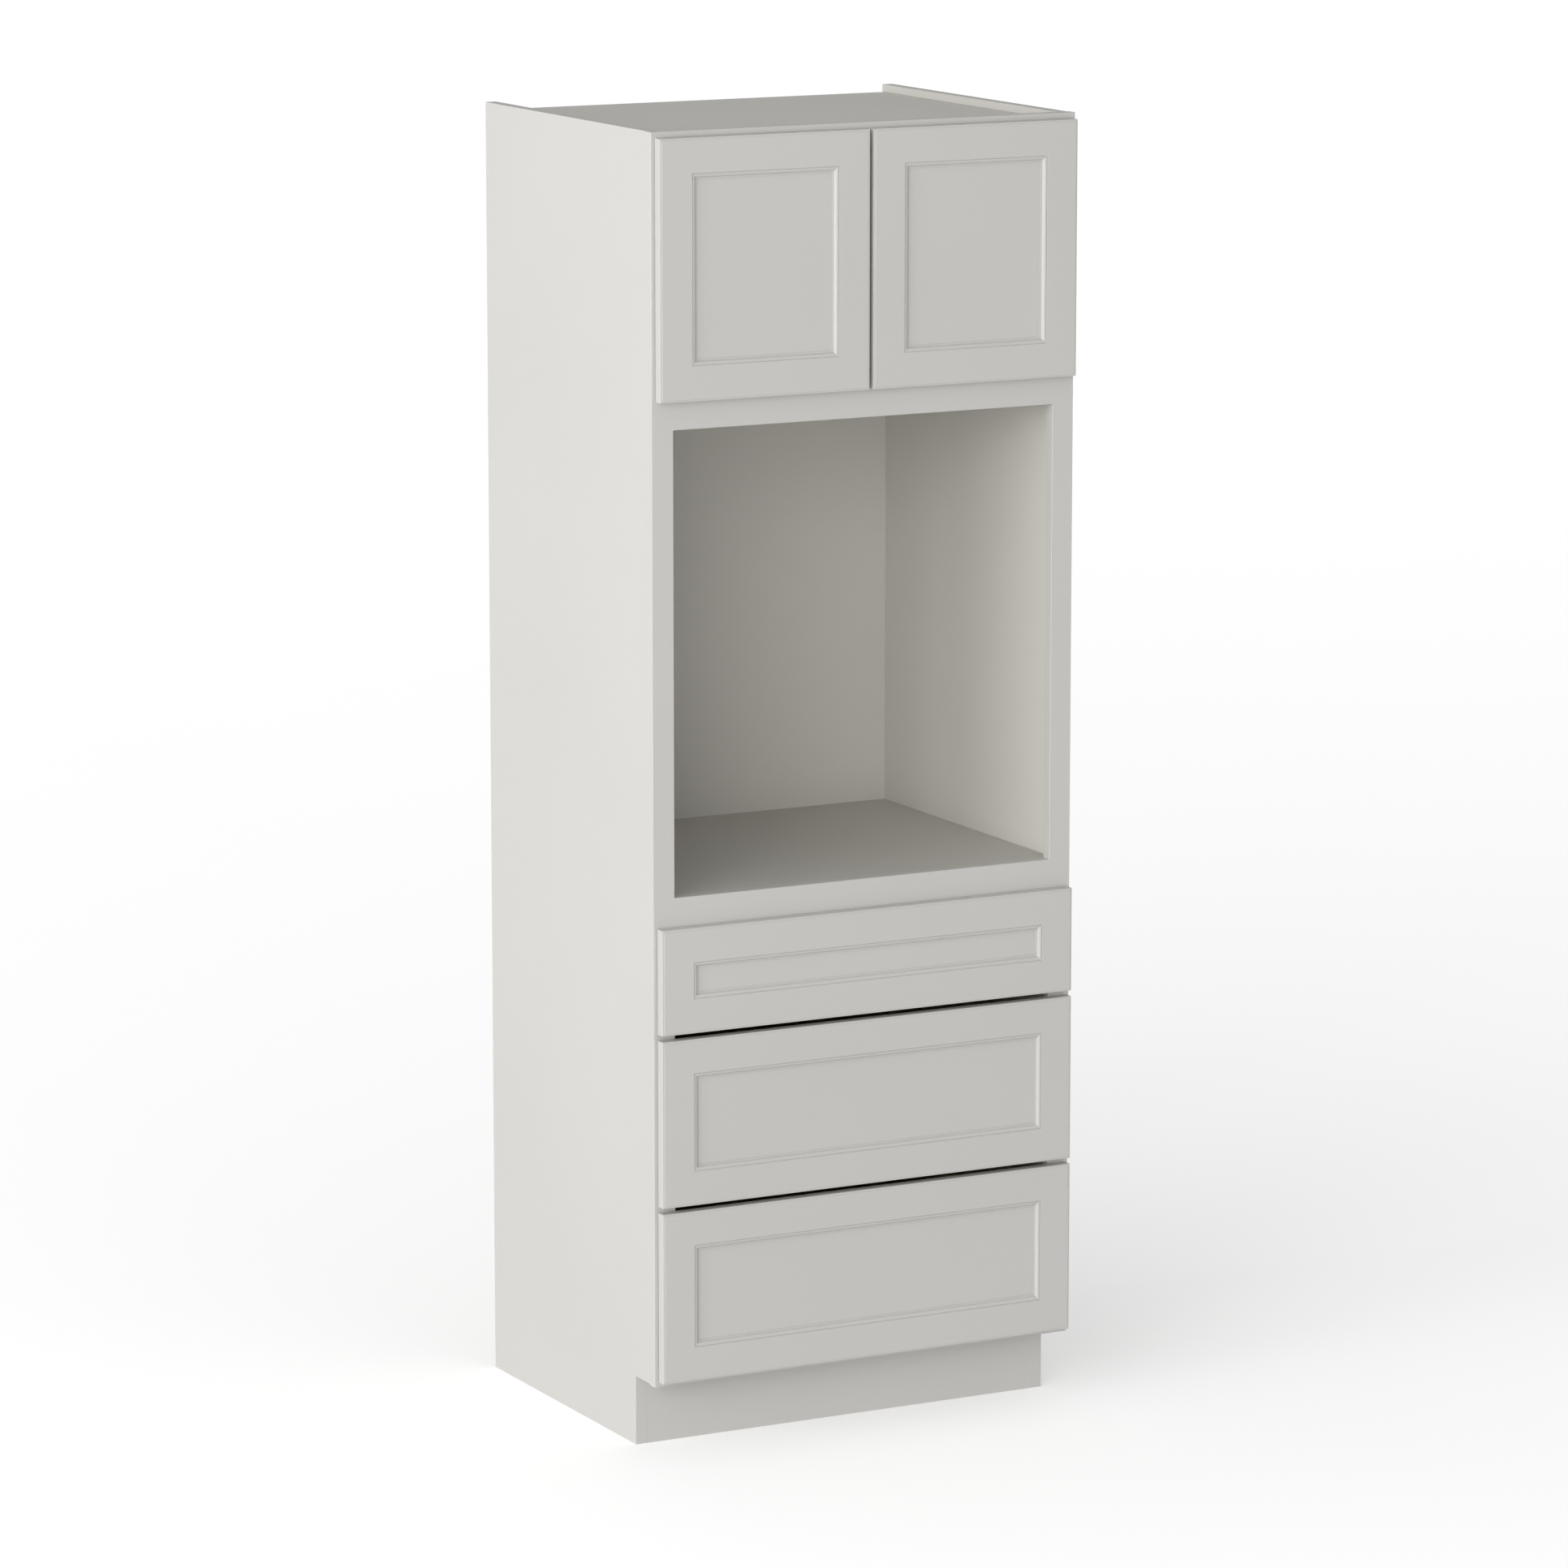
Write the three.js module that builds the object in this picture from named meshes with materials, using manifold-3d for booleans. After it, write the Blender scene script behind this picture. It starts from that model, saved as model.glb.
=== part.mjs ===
// Tall face-frame cabinet for a built-in oven: two doors above an open bay, three drawers below it.
// Millimetres, +Z up. The front faces -Y. Inside the cabinet group Y = 0 is the front of the face
// frame, Z = 0 is the floor and X = 0 is the middle; the group is then moved so that the origin lies
// under the middle of the whole cabinet.
import * as THREE from 'three';
import { mergeVertices } from 'three/addons/utils/BufferGeometryUtils.js';
import Module from 'manifold-3d';

const wasm = await Module();
wasm.setup();

// ---- driving dimensions -------------------------------------------------------------------------
const WIDTH = 762; // across the face frame
const HEIGHT = 2133.6;
const DEPTH = 609.6; // front of the face frame to the back edges of the sides
const GAP = 0.3; // air left between pieces that touch

const BOARD = 19.05; // sides, frame, oven floor, shelf, fronts
const THIN_BOARD = 12.7; // top, back, bottom, cupboard floor, toe kick
const DADO = 6; // how far the boards housed in the sides run into them
const SHELF_PLAY = 1.5; // free play at each end of the shelf

const SIDE_INSET = 3.5; // sides set in from the frame's edges
const TOE_HEIGHT = 114.3;
const TOE_DEPTH = 76.2;
const TOP_RECESS = 12.7; // top panel below the tops of the sides
const BACK_FACE_Y = 593.5; // front of the back panel

const STILE = 38.1;
const TOP_RAIL = 38.1;
const BOTTOM_RAIL = 38.1;
const BAY_RAIL = 57.15; // rails above and below the oven bay
const BAY_BOTTOM = 914.4;
const BAY_HEIGHT = 749.3;

const FRONT_STANDOFF = 1.55; // bumpers hold the fronts this far off the frame
const SIDE_REVEAL = 6.35;
const DOOR_BOTTOM = 1710.3;
const DOOR_HEIGHT = 413.9;
const DOOR_GAP = 6.8;

const DRAWER_BOTTOM = 122.9;
const DRAWER_GAP = 9.8;
const DRAWER_HEIGHTS = [171.4, 272.7, 280.6]; // fronts, from the top drawer down
const BOX_HEIGHTS = [114.3, 203.2, 203.2];
const BOX_RISE = [24, 24, 50]; // box bottom above the front's lower edge
const BOX_LENGTH = 533.4;
const BOX_WALL = 15.9;
const BOX_SIDE_CLEARANCE = 5;
const BOX_BOTTOM = 6.35;
const BOX_BOTTOM_RISE = 12.7;

// framed fronts: a flat band, a moulded edge that slopes down, a narrow ledge, then the panel
const BAND = 57.15;
const MOULDING = 5.8;
const MOULDING_DROP = 5.2;
const LEDGE = 2.6;
const PANEL_DROP = 6.6;
const PANEL_THICKNESS = 6.35;
const PANEL_GROOVE = 8;

// hinges
const CUP_RADIUS = 17.5;
const CUP_DEPTH = 11.5;
const CUP_SETBACK = 21; // cup centre from the door's edge
const HINGE_FROM_END = 76;
const CUP_RIM = 1;
const WING_LENGTH = 54;
const WING_WIDTH = 14;
const PLATE_LENGTH = 56;
const PLATE_THICKNESS = 2.5;
const ARM_HEIGHT = 16;
const ARM_REACH = 6;

// runners under the drawer boxes
const RUNNER_WIDTH = 38;
const RUNNER_HEIGHT = 10;
const RUNNER_STEEL = 1.6;
const RUNNER_FOOT = 22; // foot that reaches out under the drawer side

// ---- positions worked out from them --------------------------------------------------------------
const halfWidth = WIDTH / 2;
const sideOuter = halfWidth - SIDE_INSET;
const sideInner = sideOuter - BOARD;
const openingHalf = halfWidth - STILE;
const bayTop = BAY_BOTTOM + BAY_HEIGHT;
const frontBack = -FRONT_STANDOFF;
const frontFace = frontBack - BOARD;
const topPanelTop = HEIGHT - TOP_RECESS;
const cupboardFloorTop = bayTop + BAY_RAIL;
const floorTop = TOE_HEIGHT + BOTTOM_RAIL;
const shelfBottom = (cupboardFloorTop + topPanelTop - THIN_BOARD - BOARD) / 2;
const frontWidth = WIDTH - 2 * SIDE_REVEAL;
const doorWidth = (frontWidth - DOOR_GAP) / 2;
const edgeToPanel = BAND + MOULDING + LEDGE;

// ---- materials -----------------------------------------------------------------------------------
const paint = (color) => new THREE.MeshStandardMaterial({ color, roughness: 0.45, metalness: 0 });
const framePaint = paint('#c9c7c2');
const frontPaint = paint('#cbc9c4');
const insidePaint = paint('#c4c2bc');
const birch = new THREE.MeshStandardMaterial({ color: '#dcc29a', roughness: 0.5, metalness: 0 });
const steel = new THREE.MeshStandardMaterial({ color: '#a9adb0', roughness: 0.35, metalness: 1 });
const nickel = new THREE.MeshStandardMaterial({ color: '#c8c6c0', roughness: 0.25, metalness: 1 });

// ---- small tools ---------------------------------------------------------------------------------
function block([x0, x1], [y0, y1], [z0, z1]) {
  const geometry = new THREE.BoxGeometry(x1 - x0, y1 - y0, z1 - z0);
  return geometry.translate((x0 + x1) / 2, (y0 + y1) / 2, (z0 + z1) / 2);
}

function toSolid(geometry) {
  const bare = geometry.clone();
  bare.deleteAttribute('normal');
  bare.deleteAttribute('uv');
  const merged = mergeVertices(bare, 1e-5);
  const vertProperties = new Float32Array(merged.attributes.position.array);
  const triVerts = new Uint32Array(merged.index.array);
  return new wasm.Manifold(new wasm.Mesh({ numProp: 3, vertProperties, triVerts }));
}

function toGeometry(solid) {
  const { vertProperties, triVerts } = solid.getMesh();
  const geometry = new THREE.BufferGeometry();
  geometry.setAttribute('position', new THREE.BufferAttribute(vertProperties, 3));
  geometry.setIndex(new THREE.BufferAttribute(triVerts, 1));
  const flat = geometry.toNonIndexed();
  flat.computeVertexNormals();
  return flat;
}

function cut(geometry, cutters) {
  return toGeometry(cutters.reduce((solid, cutter) => solid.subtract(toSolid(cutter)), toSolid(geometry)));
}

function join(geometries) {
  const [first, ...others] = geometries.map(toSolid);
  return toGeometry(others.reduce((solid, other) => solid.add(other), first));
}

const xAxis = new THREE.Vector3(1, 0, 0);
const yAxis = new THREE.Vector3(0, 1, 0);
const zAxis = new THREE.Vector3(0, 0, 1);
const drawingPlanes = {
  x: new THREE.Matrix4().makeBasis(yAxis, zAxis, xAxis), // points are [y, z]
  y: new THREE.Matrix4().makeBasis(zAxis, xAxis, yAxis), // points are [z, x]
  z: new THREE.Matrix4(), // points are [x, y]
};

// a polygon in the plane across an axis, extruded along that axis
function prism(points, along, from, to) {
  const shape = new THREE.Shape(points.map(([a, b]) => new THREE.Vector2(a, b)));
  const geometry = new THREE.ExtrudeGeometry(shape, { depth: to - from, bevelEnabled: false });
  return geometry.translate(0, 0, from).applyMatrix4(drawingPlanes[along]);
}

const cabinet = new THREE.Group();
cabinet.position.y = -(DEPTH + frontFace) / 2;

function add(name, geometry, material) {
  const mesh = new THREE.Mesh(geometry, material);
  mesh.name = name;
  cabinet.add(mesh);
  return mesh;
}

const bothSides = [
  ['left', -1],
  ['right', 1],
];
const span = (sign, near, far) => (sign < 0 ? [-far, -near] : [near, far]);

// ---- carcass -------------------------------------------------------------------------------------
const backPanelY = [BACK_FACE_Y, BACK_FACE_Y + THIN_BOARD];
const boardY = [BOARD + GAP, BACK_FACE_Y - GAP];
const boardX = [-sideInner - DADO + GAP, sideInner + DADO - GAP];
const housedBoards = {
  top_panel: [topPanelTop - THIN_BOARD, topPanelTop],
  cupboard_floor: [cupboardFloorTop - THIN_BOARD, cupboardFloorTop],
  bottom_panel: [floorTop - THIN_BOARD, floorTop],
};

function sidePanel(sign) {
  const outline = [
    [BOARD + GAP, TOE_HEIGHT],
    [TOE_DEPTH, TOE_HEIGHT],
    [TOE_DEPTH, 0],
    [DEPTH, 0],
    [DEPTH, HEIGHT],
    [BOARD + GAP, HEIGHT],
  ];
  const panel = prism(outline, 'x', ...span(sign, sideInner, sideOuter));
  const dadoX = span(sign, sideInner - 1, sideInner + DADO);
  const dados = Object.values(housedBoards).map(([low, high]) =>
    block(dadoX, [BOARD - 1, BACK_FACE_Y + 1], [low - GAP, high + GAP]),
  );
  const rabbet = block(dadoX, [BACK_FACE_Y - GAP, DEPTH + 1], [TOE_HEIGHT, topPanelTop + GAP]);
  return cut(panel, [...dados, rabbet]);
}

function carcass() {
  for (const [side, sign] of bothSides) add(`side_${side}`, sidePanel(sign), framePaint);
  for (const [name, z] of Object.entries(housedBoards)) add(name, block(boardX, boardY, z), insidePaint);
  const looseX = [-sideInner + GAP, sideInner - GAP];
  add('oven_floor', block(looseX, boardY, [BAY_BOTTOM - BOARD, BAY_BOTTOM]), insidePaint);
  add('back_panel', block(boardX, backPanelY, [TOE_HEIGHT + GAP, topPanelTop]), insidePaint);
  const shelfX = [-sideInner + SHELF_PLAY, sideInner - SHELF_PLAY];
  const shelfY = [BOARD + 12, BACK_FACE_Y - 6];
  add('shelf', block(shelfX, shelfY, [shelfBottom, shelfBottom + BOARD]), insidePaint);
  const kickTop = floorTop - THIN_BOARD - GAP;
  add('toe_kick', block(looseX, [TOE_DEPTH, TOE_DEPTH + THIN_BOARD], [0, kickTop]), framePaint);
}

// ---- face frame ----------------------------------------------------------------------------------
function faceFrame() {
  const frameY = [0, BOARD];
  for (const [side, sign] of bothSides) {
    const stileX = span(sign, openingHalf, halfWidth);
    add(`frame_stile_${side}`, block(stileX, frameY, [TOE_HEIGHT, HEIGHT]), framePaint);
  }
  const railX = [-openingHalf + GAP, openingHalf - GAP];
  const rails = {
    frame_rail_top: [HEIGHT - TOP_RAIL, HEIGHT],
    frame_rail_above_bay: [bayTop, bayTop + BAY_RAIL],
    frame_rail_below_bay: [BAY_BOTTOM - BAY_RAIL, BAY_BOTTOM],
    frame_rail_bottom: [TOE_HEIGHT, TOE_HEIGHT + BOTTOM_RAIL],
  };
  for (const [name, z] of Object.entries(rails)) add(name, block(railX, frameY, z), framePaint);
}

// ---- framed fronts -------------------------------------------------------------------------------
// Depth is measured back from the face of the front, so `frontFace + depth` is a place in Y.
const grooveFront = frontFace + PANEL_DROP - GAP;
const grooveBack = frontFace + PANEL_DROP + PANEL_THICKNESS + GAP;

// Moulded edge of a member that lies along Z, with mitred ends: the solid between the band and the
// panel. Section points are [across the member from the band's edge, depth].
function mouldedEdge(length) {
  const section = [
    [0, 0],
    [MOULDING, MOULDING_DROP],
    [MOULDING + LEDGE, MOULDING_DROP],
    [MOULDING + LEDGE, BOARD],
    [0, BOARD],
  ];
  const bar = prism(section.map(([u, d]) => [u, frontFace + d]), 'z', 0, length);
  const reach = MOULDING + LEDGE;
  const mitred = [
    [-1, -1],
    [-1, length + 1],
    [0, length - GAP],
    [reach, length - reach - GAP],
    [reach, reach + GAP],
    [0, GAP],
  ];
  const keep = prism(mitred.map(([u, z]) => [z, u]), 'y', frontFace - 1, frontBack + 1);
  return toGeometry(toSolid(bar).intersect(toSolid(keep)));
}

// One member of a framed front: a flat bar `BAND` wide with its moulded edge, grooved for the panel.
// It is made along Z with its outer edge at u = 0, then turned about Y and moved into place.
function member(barFrom, barTo, edgeFrom, edgeTo) {
  const bar = block([0, BAND], [frontFace, frontBack], [barFrom, barTo]);
  const edge = mouldedEdge(edgeTo - edgeFrom).translate(BAND, 0, edgeFrom);
  const groove = block(
    [edgeToPanel - PANEL_GROOVE - GAP, edgeToPanel + 1],
    [grooveFront, grooveBack],
    [edgeFrom + MOULDING + LEDGE - PANEL_GROOVE - GAP, edgeTo - MOULDING - LEDGE + PANEL_GROOVE + GAP],
  );
  return cut(join([bar, edge]), [groove]);
}

function turned(geometry, quarterTurns, x, z) {
  return geometry.rotateY((quarterTurns * Math.PI) / 2).translate(x, 0, z);
}

function framedFront(name, x, z, width, height, stileNames) {
  const stile = () => member(0, height, BAND, height - BAND);
  const rail = () => member(BAND + GAP, width - BAND - GAP, BAND, width - BAND);
  const front = {
    [`${name}_${stileNames[0]}`]: turned(stile(), 0, x, z),
    [`${name}_${stileNames[1]}`]: turned(stile(), 2, x + width, z + height),
    [`${name}_rail_bottom`]: turned(rail(), 3, x + width, z),
    [`${name}_rail_top`]: turned(rail(), 1, x, z + height),
  };
  const inset = edgeToPanel - PANEL_GROOVE;
  const panelY = [grooveFront + GAP, grooveBack - GAP];
  front[`${name}_panel`] = block([x + inset, x + width - inset], panelY, [z + inset, z + height - inset]);
  return front;
}

// ---- doors with their hinges ---------------------------------------------------------------------
function cupBore(x, z) {
  const bore = new THREE.CylinderGeometry(CUP_RADIUS + GAP, CUP_RADIUS + GAP, CUP_DEPTH + GAP + 1, 32);
  return bore.translate(x, frontBack - (CUP_DEPTH + GAP - 1) / 2, z);
}

function hingeCup(x, z, inward) {
  const wall = 1.4;
  const rimRadius = CUP_RADIUS + 1.5;
  const profile = [
    [0, -CUP_DEPTH],
    [CUP_RADIUS, -CUP_DEPTH],
    [CUP_RADIUS, GAP],
    [rimRadius, GAP],
    [rimRadius, CUP_RIM],
    [CUP_RADIUS - wall, CUP_RIM],
    [CUP_RADIUS - wall, wall - CUP_DEPTH],
    [0, wall - CUP_DEPTH],
  ].map(([r, y]) => new THREE.Vector2(r, y));
  const cup = new THREE.LatheGeometry(profile, 32).translate(x, frontBack, z);
  const wingX = [x + inward * (CUP_RADIUS - wall), x + inward * (CUP_RADIUS - wall + WING_WIDTH)];
  const wingY = [frontBack + GAP, frontBack + CUP_RIM];
  const wing = block(wingX.sort((a, b) => a - b), wingY, [z - WING_LENGTH / 2, z + WING_LENGTH / 2]);
  return join([cup, wing]);
}

function hingePlate(sign, z) {
  const plateX = span(sign, openingHalf - GAP - PLATE_THICKNESS, openingHalf - GAP);
  const plate = block(plateX, [1, BOARD - 0.5], [z - PLATE_LENGTH / 2, z + PLATE_LENGTH / 2]);
  const armX = span(sign, openingHalf - GAP - PLATE_THICKNESS - ARM_REACH, openingHalf - GAP - 1);
  const arm = block(armX, [1, BOARD - 4], [z - ARM_HEIGHT / 2, z + ARM_HEIGHT / 2]);
  return join([plate, arm]);
}

function doors() {
  for (const [side, sign] of bothSides) {
    const name = `door_${side}`;
    const x = sign < 0 ? -halfWidth + SIDE_REVEAL : DOOR_GAP / 2;
    const names = sign < 0 ? ['stile_hinge', 'stile_meeting'] : ['stile_meeting', 'stile_hinge'];
    const front = framedFront(name, x, DOOR_BOTTOM, doorWidth, DOOR_HEIGHT, names);
    const cupX = sign * (halfWidth - SIDE_REVEAL - CUP_SETBACK);
    const heights = {
      lower: DOOR_BOTTOM + HINGE_FROM_END,
      upper: DOOR_BOTTOM + DOOR_HEIGHT - HINGE_FROM_END,
    };
    const hingeStile = `${name}_stile_hinge`;
    front[hingeStile] = cut(front[hingeStile], Object.values(heights).map((z) => cupBore(cupX, z)));
    for (const [piece, geometry] of Object.entries(front)) add(piece, geometry, frontPaint);
    for (const [place, z] of Object.entries(heights)) {
      add(`hinge_cup_${side}_${place}`, hingeCup(cupX, z, -sign), nickel);
      add(`hinge_plate_${side}_${place}`, hingePlate(sign, z), nickel);
    }
  }
}

// ---- drawers with their runners ------------------------------------------------------------------
const boxOuter = openingHalf - BOX_SIDE_CLEARANCE;
const boxInner = boxOuter - BOX_WALL;
const boxFront = frontBack + GAP;
const boxBack = boxFront + BOX_LENGTH;
const bottomReach = BOX_WALL / 2;

function drawerBottom(boxZ, grow) {
  const x = boxInner + bottomReach + grow;
  const y = [boxFront + BOX_WALL - bottomReach - grow, boxBack - BOX_WALL + bottomReach + grow];
  const z = [boxZ + BOX_BOTTOM_RISE - grow, boxZ + BOX_BOTTOM_RISE + BOX_BOTTOM + grow];
  return block([-x, x], y, z);
}

// Four walls glued into one ring, grooved for the bottom and notched at the back for the runners.
function drawerBox(boxZ, height) {
  const walls = block([-boxOuter, boxOuter], [boxFront, boxBack], [boxZ, boxZ + height]);
  const inside = block(
    [-boxInner, boxInner],
    [boxFront + BOX_WALL, boxBack - BOX_WALL],
    [boxZ - 1, boxZ + height + 1],
  );
  const notches = bothSides.map(([, sign]) =>
    block(
      span(sign, boxInner - RUNNER_WIDTH - 2, boxInner + GAP),
      [boxBack - BOX_WALL - 1, boxBack + 1],
      [boxZ - 1, boxZ + BOX_BOTTOM_RISE],
    ),
  );
  return cut(walls, [inside, drawerBottom(boxZ, GAP), ...notches]);
}

// Steel channel in the recess under the drawer's bottom, with a foot that reaches out below the side.
function runner(sign, boxZ) {
  const low = boxZ - RUNNER_STEEL - 1;
  const high = low + RUNNER_HEIGHT + RUNNER_STEEL;
  const outer = boxInner - 1;
  const section = [
    [outer + RUNNER_FOOT, low],
    [outer + RUNNER_FOOT, low + RUNNER_STEEL],
    [outer, low + RUNNER_STEEL],
    [outer, high],
    [outer - RUNNER_WIDTH + 2, high],
    [outer - RUNNER_WIDTH + 2, low],
  ].map(([x, z]) => [z, sign * x]);
  return prism(section, 'y', BOARD + 1, BOARD + 1 + BOX_LENGTH);
}

function drawers() {
  let z = DRAWER_BOTTOM + DRAWER_HEIGHTS.reduce((sum, height) => sum + height + DRAWER_GAP, -DRAWER_GAP);
  DRAWER_HEIGHTS.forEach((height, index) => {
    z -= height;
    const name = `drawer_${index + 1}`;
    const boxZ = z + BOX_RISE[index];
    const stileNames = ['stile_left', 'stile_right'];
    const front = framedFront(`${name}_front`, -frontWidth / 2, z, frontWidth, height, stileNames);
    for (const [piece, geometry] of Object.entries(front)) add(piece, geometry, frontPaint);
    add(`${name}_box`, drawerBox(boxZ, BOX_HEIGHTS[index]), birch);
    add(`${name}_bottom`, drawerBottom(boxZ, 0), birch);
    for (const [side, sign] of bothSides) add(`${name}_runner_${side}`, runner(sign, boxZ), steel);
    z -= DRAWER_GAP;
  });
}

carcass();
faceFrame();
doors();
drawers();

const part = new THREE.Group();
part.add(cabinet);

export default part;
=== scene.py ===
"""A tall painted face-frame cabinet for a built-in oven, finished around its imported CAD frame.

Metres, +Z up, front to -Y. Places come from the CAD nodes' boxes. The sizes below are of details
that the CAD model leaves out.
"""
import math

import bmesh
import bpy
from mathutils import Euler, Matrix, Vector


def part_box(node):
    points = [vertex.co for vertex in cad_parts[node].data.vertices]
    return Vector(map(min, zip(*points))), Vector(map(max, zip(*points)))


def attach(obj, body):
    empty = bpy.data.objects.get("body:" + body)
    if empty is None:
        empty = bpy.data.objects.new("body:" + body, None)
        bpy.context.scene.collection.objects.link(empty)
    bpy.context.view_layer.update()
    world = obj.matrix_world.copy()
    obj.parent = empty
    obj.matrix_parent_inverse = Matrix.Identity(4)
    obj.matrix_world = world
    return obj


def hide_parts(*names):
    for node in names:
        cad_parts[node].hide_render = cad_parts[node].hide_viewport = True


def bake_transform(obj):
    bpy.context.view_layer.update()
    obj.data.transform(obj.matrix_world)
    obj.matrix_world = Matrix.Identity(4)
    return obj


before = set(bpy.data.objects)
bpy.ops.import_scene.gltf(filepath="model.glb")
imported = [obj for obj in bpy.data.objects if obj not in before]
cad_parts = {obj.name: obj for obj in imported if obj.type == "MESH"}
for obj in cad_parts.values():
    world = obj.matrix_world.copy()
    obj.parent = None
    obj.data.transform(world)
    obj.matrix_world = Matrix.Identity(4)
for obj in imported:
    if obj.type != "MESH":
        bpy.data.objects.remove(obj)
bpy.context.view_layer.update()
scene = bpy.context.scene

MM = 0.001
SIDES = (("left", -1), ("right", 1))
DRAWERS = ("drawer_1", "drawer_2", "drawer_3")

# ---- sizes of the details ----
CAD_GAP = 0.3 * MM  # air that the CAD model leaves between boards that touch
FRAME_EASE = 0.6 * MM  # sanded arrises of the face frame
BOARD_EASE = 0.4 * MM
FITTED_EASE = 0.15 * MM
HIDDEN_EASE = 0.1 * MM
SHELF_EASE = 1.0 * MM
PANEL_EASE = 0.3 * MM
BOTTOM_EASE = 0.2 * MM
CUT_PAST = 1 * MM  # how far a cutter reaches beyond the face that it cuts

# moulded fronts: (across the member from its outer edge, depth behind the face)
BACK_EASE = 0.5 * MM
STEP_WIDTH = 2.8 * MM  # rebate round the outer edge
STEP_DEPTH = 1.0 * MM
ARRIS = 0.25 * MM
QUIRK_WIDTH = 1.3 * MM
QUIRK_DEPTH = 1.3 * MM
OVOLO_WIDTH = 5.7 * MM
OVOLO_TOP = 0.35 * MM
OVOLO_BOTTOM = 5.5 * MM
OVOLO_STEPS = 10
LEDGE_WIDTH = 2.7 * MM

# shelf holes and pins
PIN_RADIUS = 2.5 * MM
PIN_HOLE_DEPTH = 10 * MM
PIN_PITCH = 32 * MM
PIN_HOLES = 9
PIN_FROM_FRONT = 56 * MM
PIN_FROM_BACK = 62 * MM
HOLE_TIP = 1 * MM
PIN_REACH = 8 * MM  # how far a pin goes into its hole
PIN_CHAMFER = (0.3 * MM, 0.4 * MM)
PIN_COLLAR = (4 * MM, 1 * MM)  # radius and thickness
PIN_HEAD = 1.2 * MM  # how far it stands out of the side
SPOON = (10 * MM, 9 * MM)
SPOON_CORNER = 2 * MM
SPOON_UNDER = 1 * MM  # its lower face, over the pin's middle

# hinges
CUP_RADIUS = 17.5 * MM
CUP_RIM = 19 * MM
CUP_WALL = 1.2 * MM
CUP_LIFT = 0.1 * MM  # of the rim off the door
CUP_PLAY = (0.1 * MM, 0.2 * MM)  # round and behind the cup in its bore
CUP_ROUND = 2 * MM  # the outer corner of its floor
CUP_ROUND_MIDDLE = 0.6 * MM
CUP_FILLET = (1.6 * MM, 1.4 * MM)
RIM_EASE = 0.4 * MM
WING_STEEL = 1 * MM
WING_HALF = 27 * MM
WING_ROOT = CUP_RADIUS + 0.2 * MM  # from the middle of the cup
WING_REACH = 30 * MM
WING_SCREW = (24 * MM, 20 * MM)
SEAT_STEEL = 2.4 * MM
SEAT_SPAN = (-9 * MM, 15.4 * MM)
SEAT_HALF = 7 * MM
SEAT_CORNER = 2 * MM
PLATE_STEEL = 2.5 * MM
PLATE_CORNER = 5 * MM  # of the wing too
PLATE_SCREW = 19 * MM  # over and under the middle
ARM_BASE = 8.8 * MM  # how far it stands off the stile
ARM_BASE_HALF = 8 * MM
ARM_BASE_INSET = (1 * MM, 3.5 * MM)  # from the plate's front and back
ARM_BASE_EASE = 1.2 * MM
ARM_SCREW = 2 * MM  # behind the plate's middle
ARM_WIDTH = 12 * MM
ARM_STEEL = 1.8 * MM
ARM_STEPS = 4  # of the curve between two of its points
# the arm's centre line: out from the stile's inner edge, and back from the plate's front ...
ARM_ON_PLATE = ((-5.5 * MM, 6 * MM), (-5.2 * MM, 2 * MM))
# ... or from the door's back
ARM_INTO_CUP = ((-4 * MM, 0.5 * MM), (-1 * MM, -4 * MM), (4 * MM, -7 * MM), (10 * MM, -8.1 * MM))

# drawer boxes
BOX_WALL = 15.9 * MM
BOTTOM_PLAY = 0.2 * MM
NOTCH_WIDTH = 40 * MM
NOTCH_LAP = 0.3 * MM  # into the sides
NOTCH_TOP = 1 * MM  # under the bottom
FRONT_SCREW_X = 0.24
FRONT_SCREW_LEVELS = (40 * MM, 30 * MM)  # over the box's lower edge, under its upper edge
TAIL_PITCH = 27 * MM
TAIL_BASE = 0.46  # width of a tail at its root, as a share of the pitch
TAIL_END = 0.66
JOINT_EASE = 0.22 * MM

# runners: widths inwards from near the box's side, heights over the track's floor
RUNNER_PLAY = 1 * MM  # from the box's side to where the widths start
RUNNER_STEEL = 1.4 * MM
MIDDLE_STEEL = 1.2 * MM
TRACK_WIDTH = 36 * MM
TRACK_LIP = 6 * MM
GUIDE_AT = 0.7 * MM
CHANNEL = (6 * MM, 30 * MM)
CHANNEL_FOOT = 1.6 * MM
CHANNEL_ENDS = (6 * MM, 20 * MM)  # inside the track's ends
HOOD = (2.6 * MM, 33.4 * MM)
HOOD_FOOT = 7.4 * MM
HOOD_ENDS = (2 * MM, 20 * MM)  # inside the track's front and the box's back
SHOULDER = 9.6 * MM
CLIP = (TRACK_WIDTH + 0.4 * MM, 48 * MM)
CLIP_UNDER = 1 * MM
CLIP_PLAY = (0.2 * MM, 0.3 * MM)  # under the hood's level, behind the box's front wall
CLIP_LENGTH = 46 * MM
CLIP_EASE = 1.6 * MM
THUMB_LOW = (38 * MM, -5 * MM, 4 * MM)  # width, height, behind the clip's front
THUMB_HIGH = (46 * MM, 4 * MM, 20 * MM)
THUMB_EASE = 1.4 * MM
SOCKET = (-4 * MM, 38 * MM)
SOCKET_UNDER = 5 * MM
SOCKET_OVER = 6 * MM  # over the shoulder
SOCKET_REACH = 12 * MM  # forward over the track's end
SOCKET_MOUTH = 8 * MM  # back from the track's end
SOCKET_WALL = 3 * MM
SOCKET_SOLE = 2.5 * MM
SOCKET_EASE = 2 * MM

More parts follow.
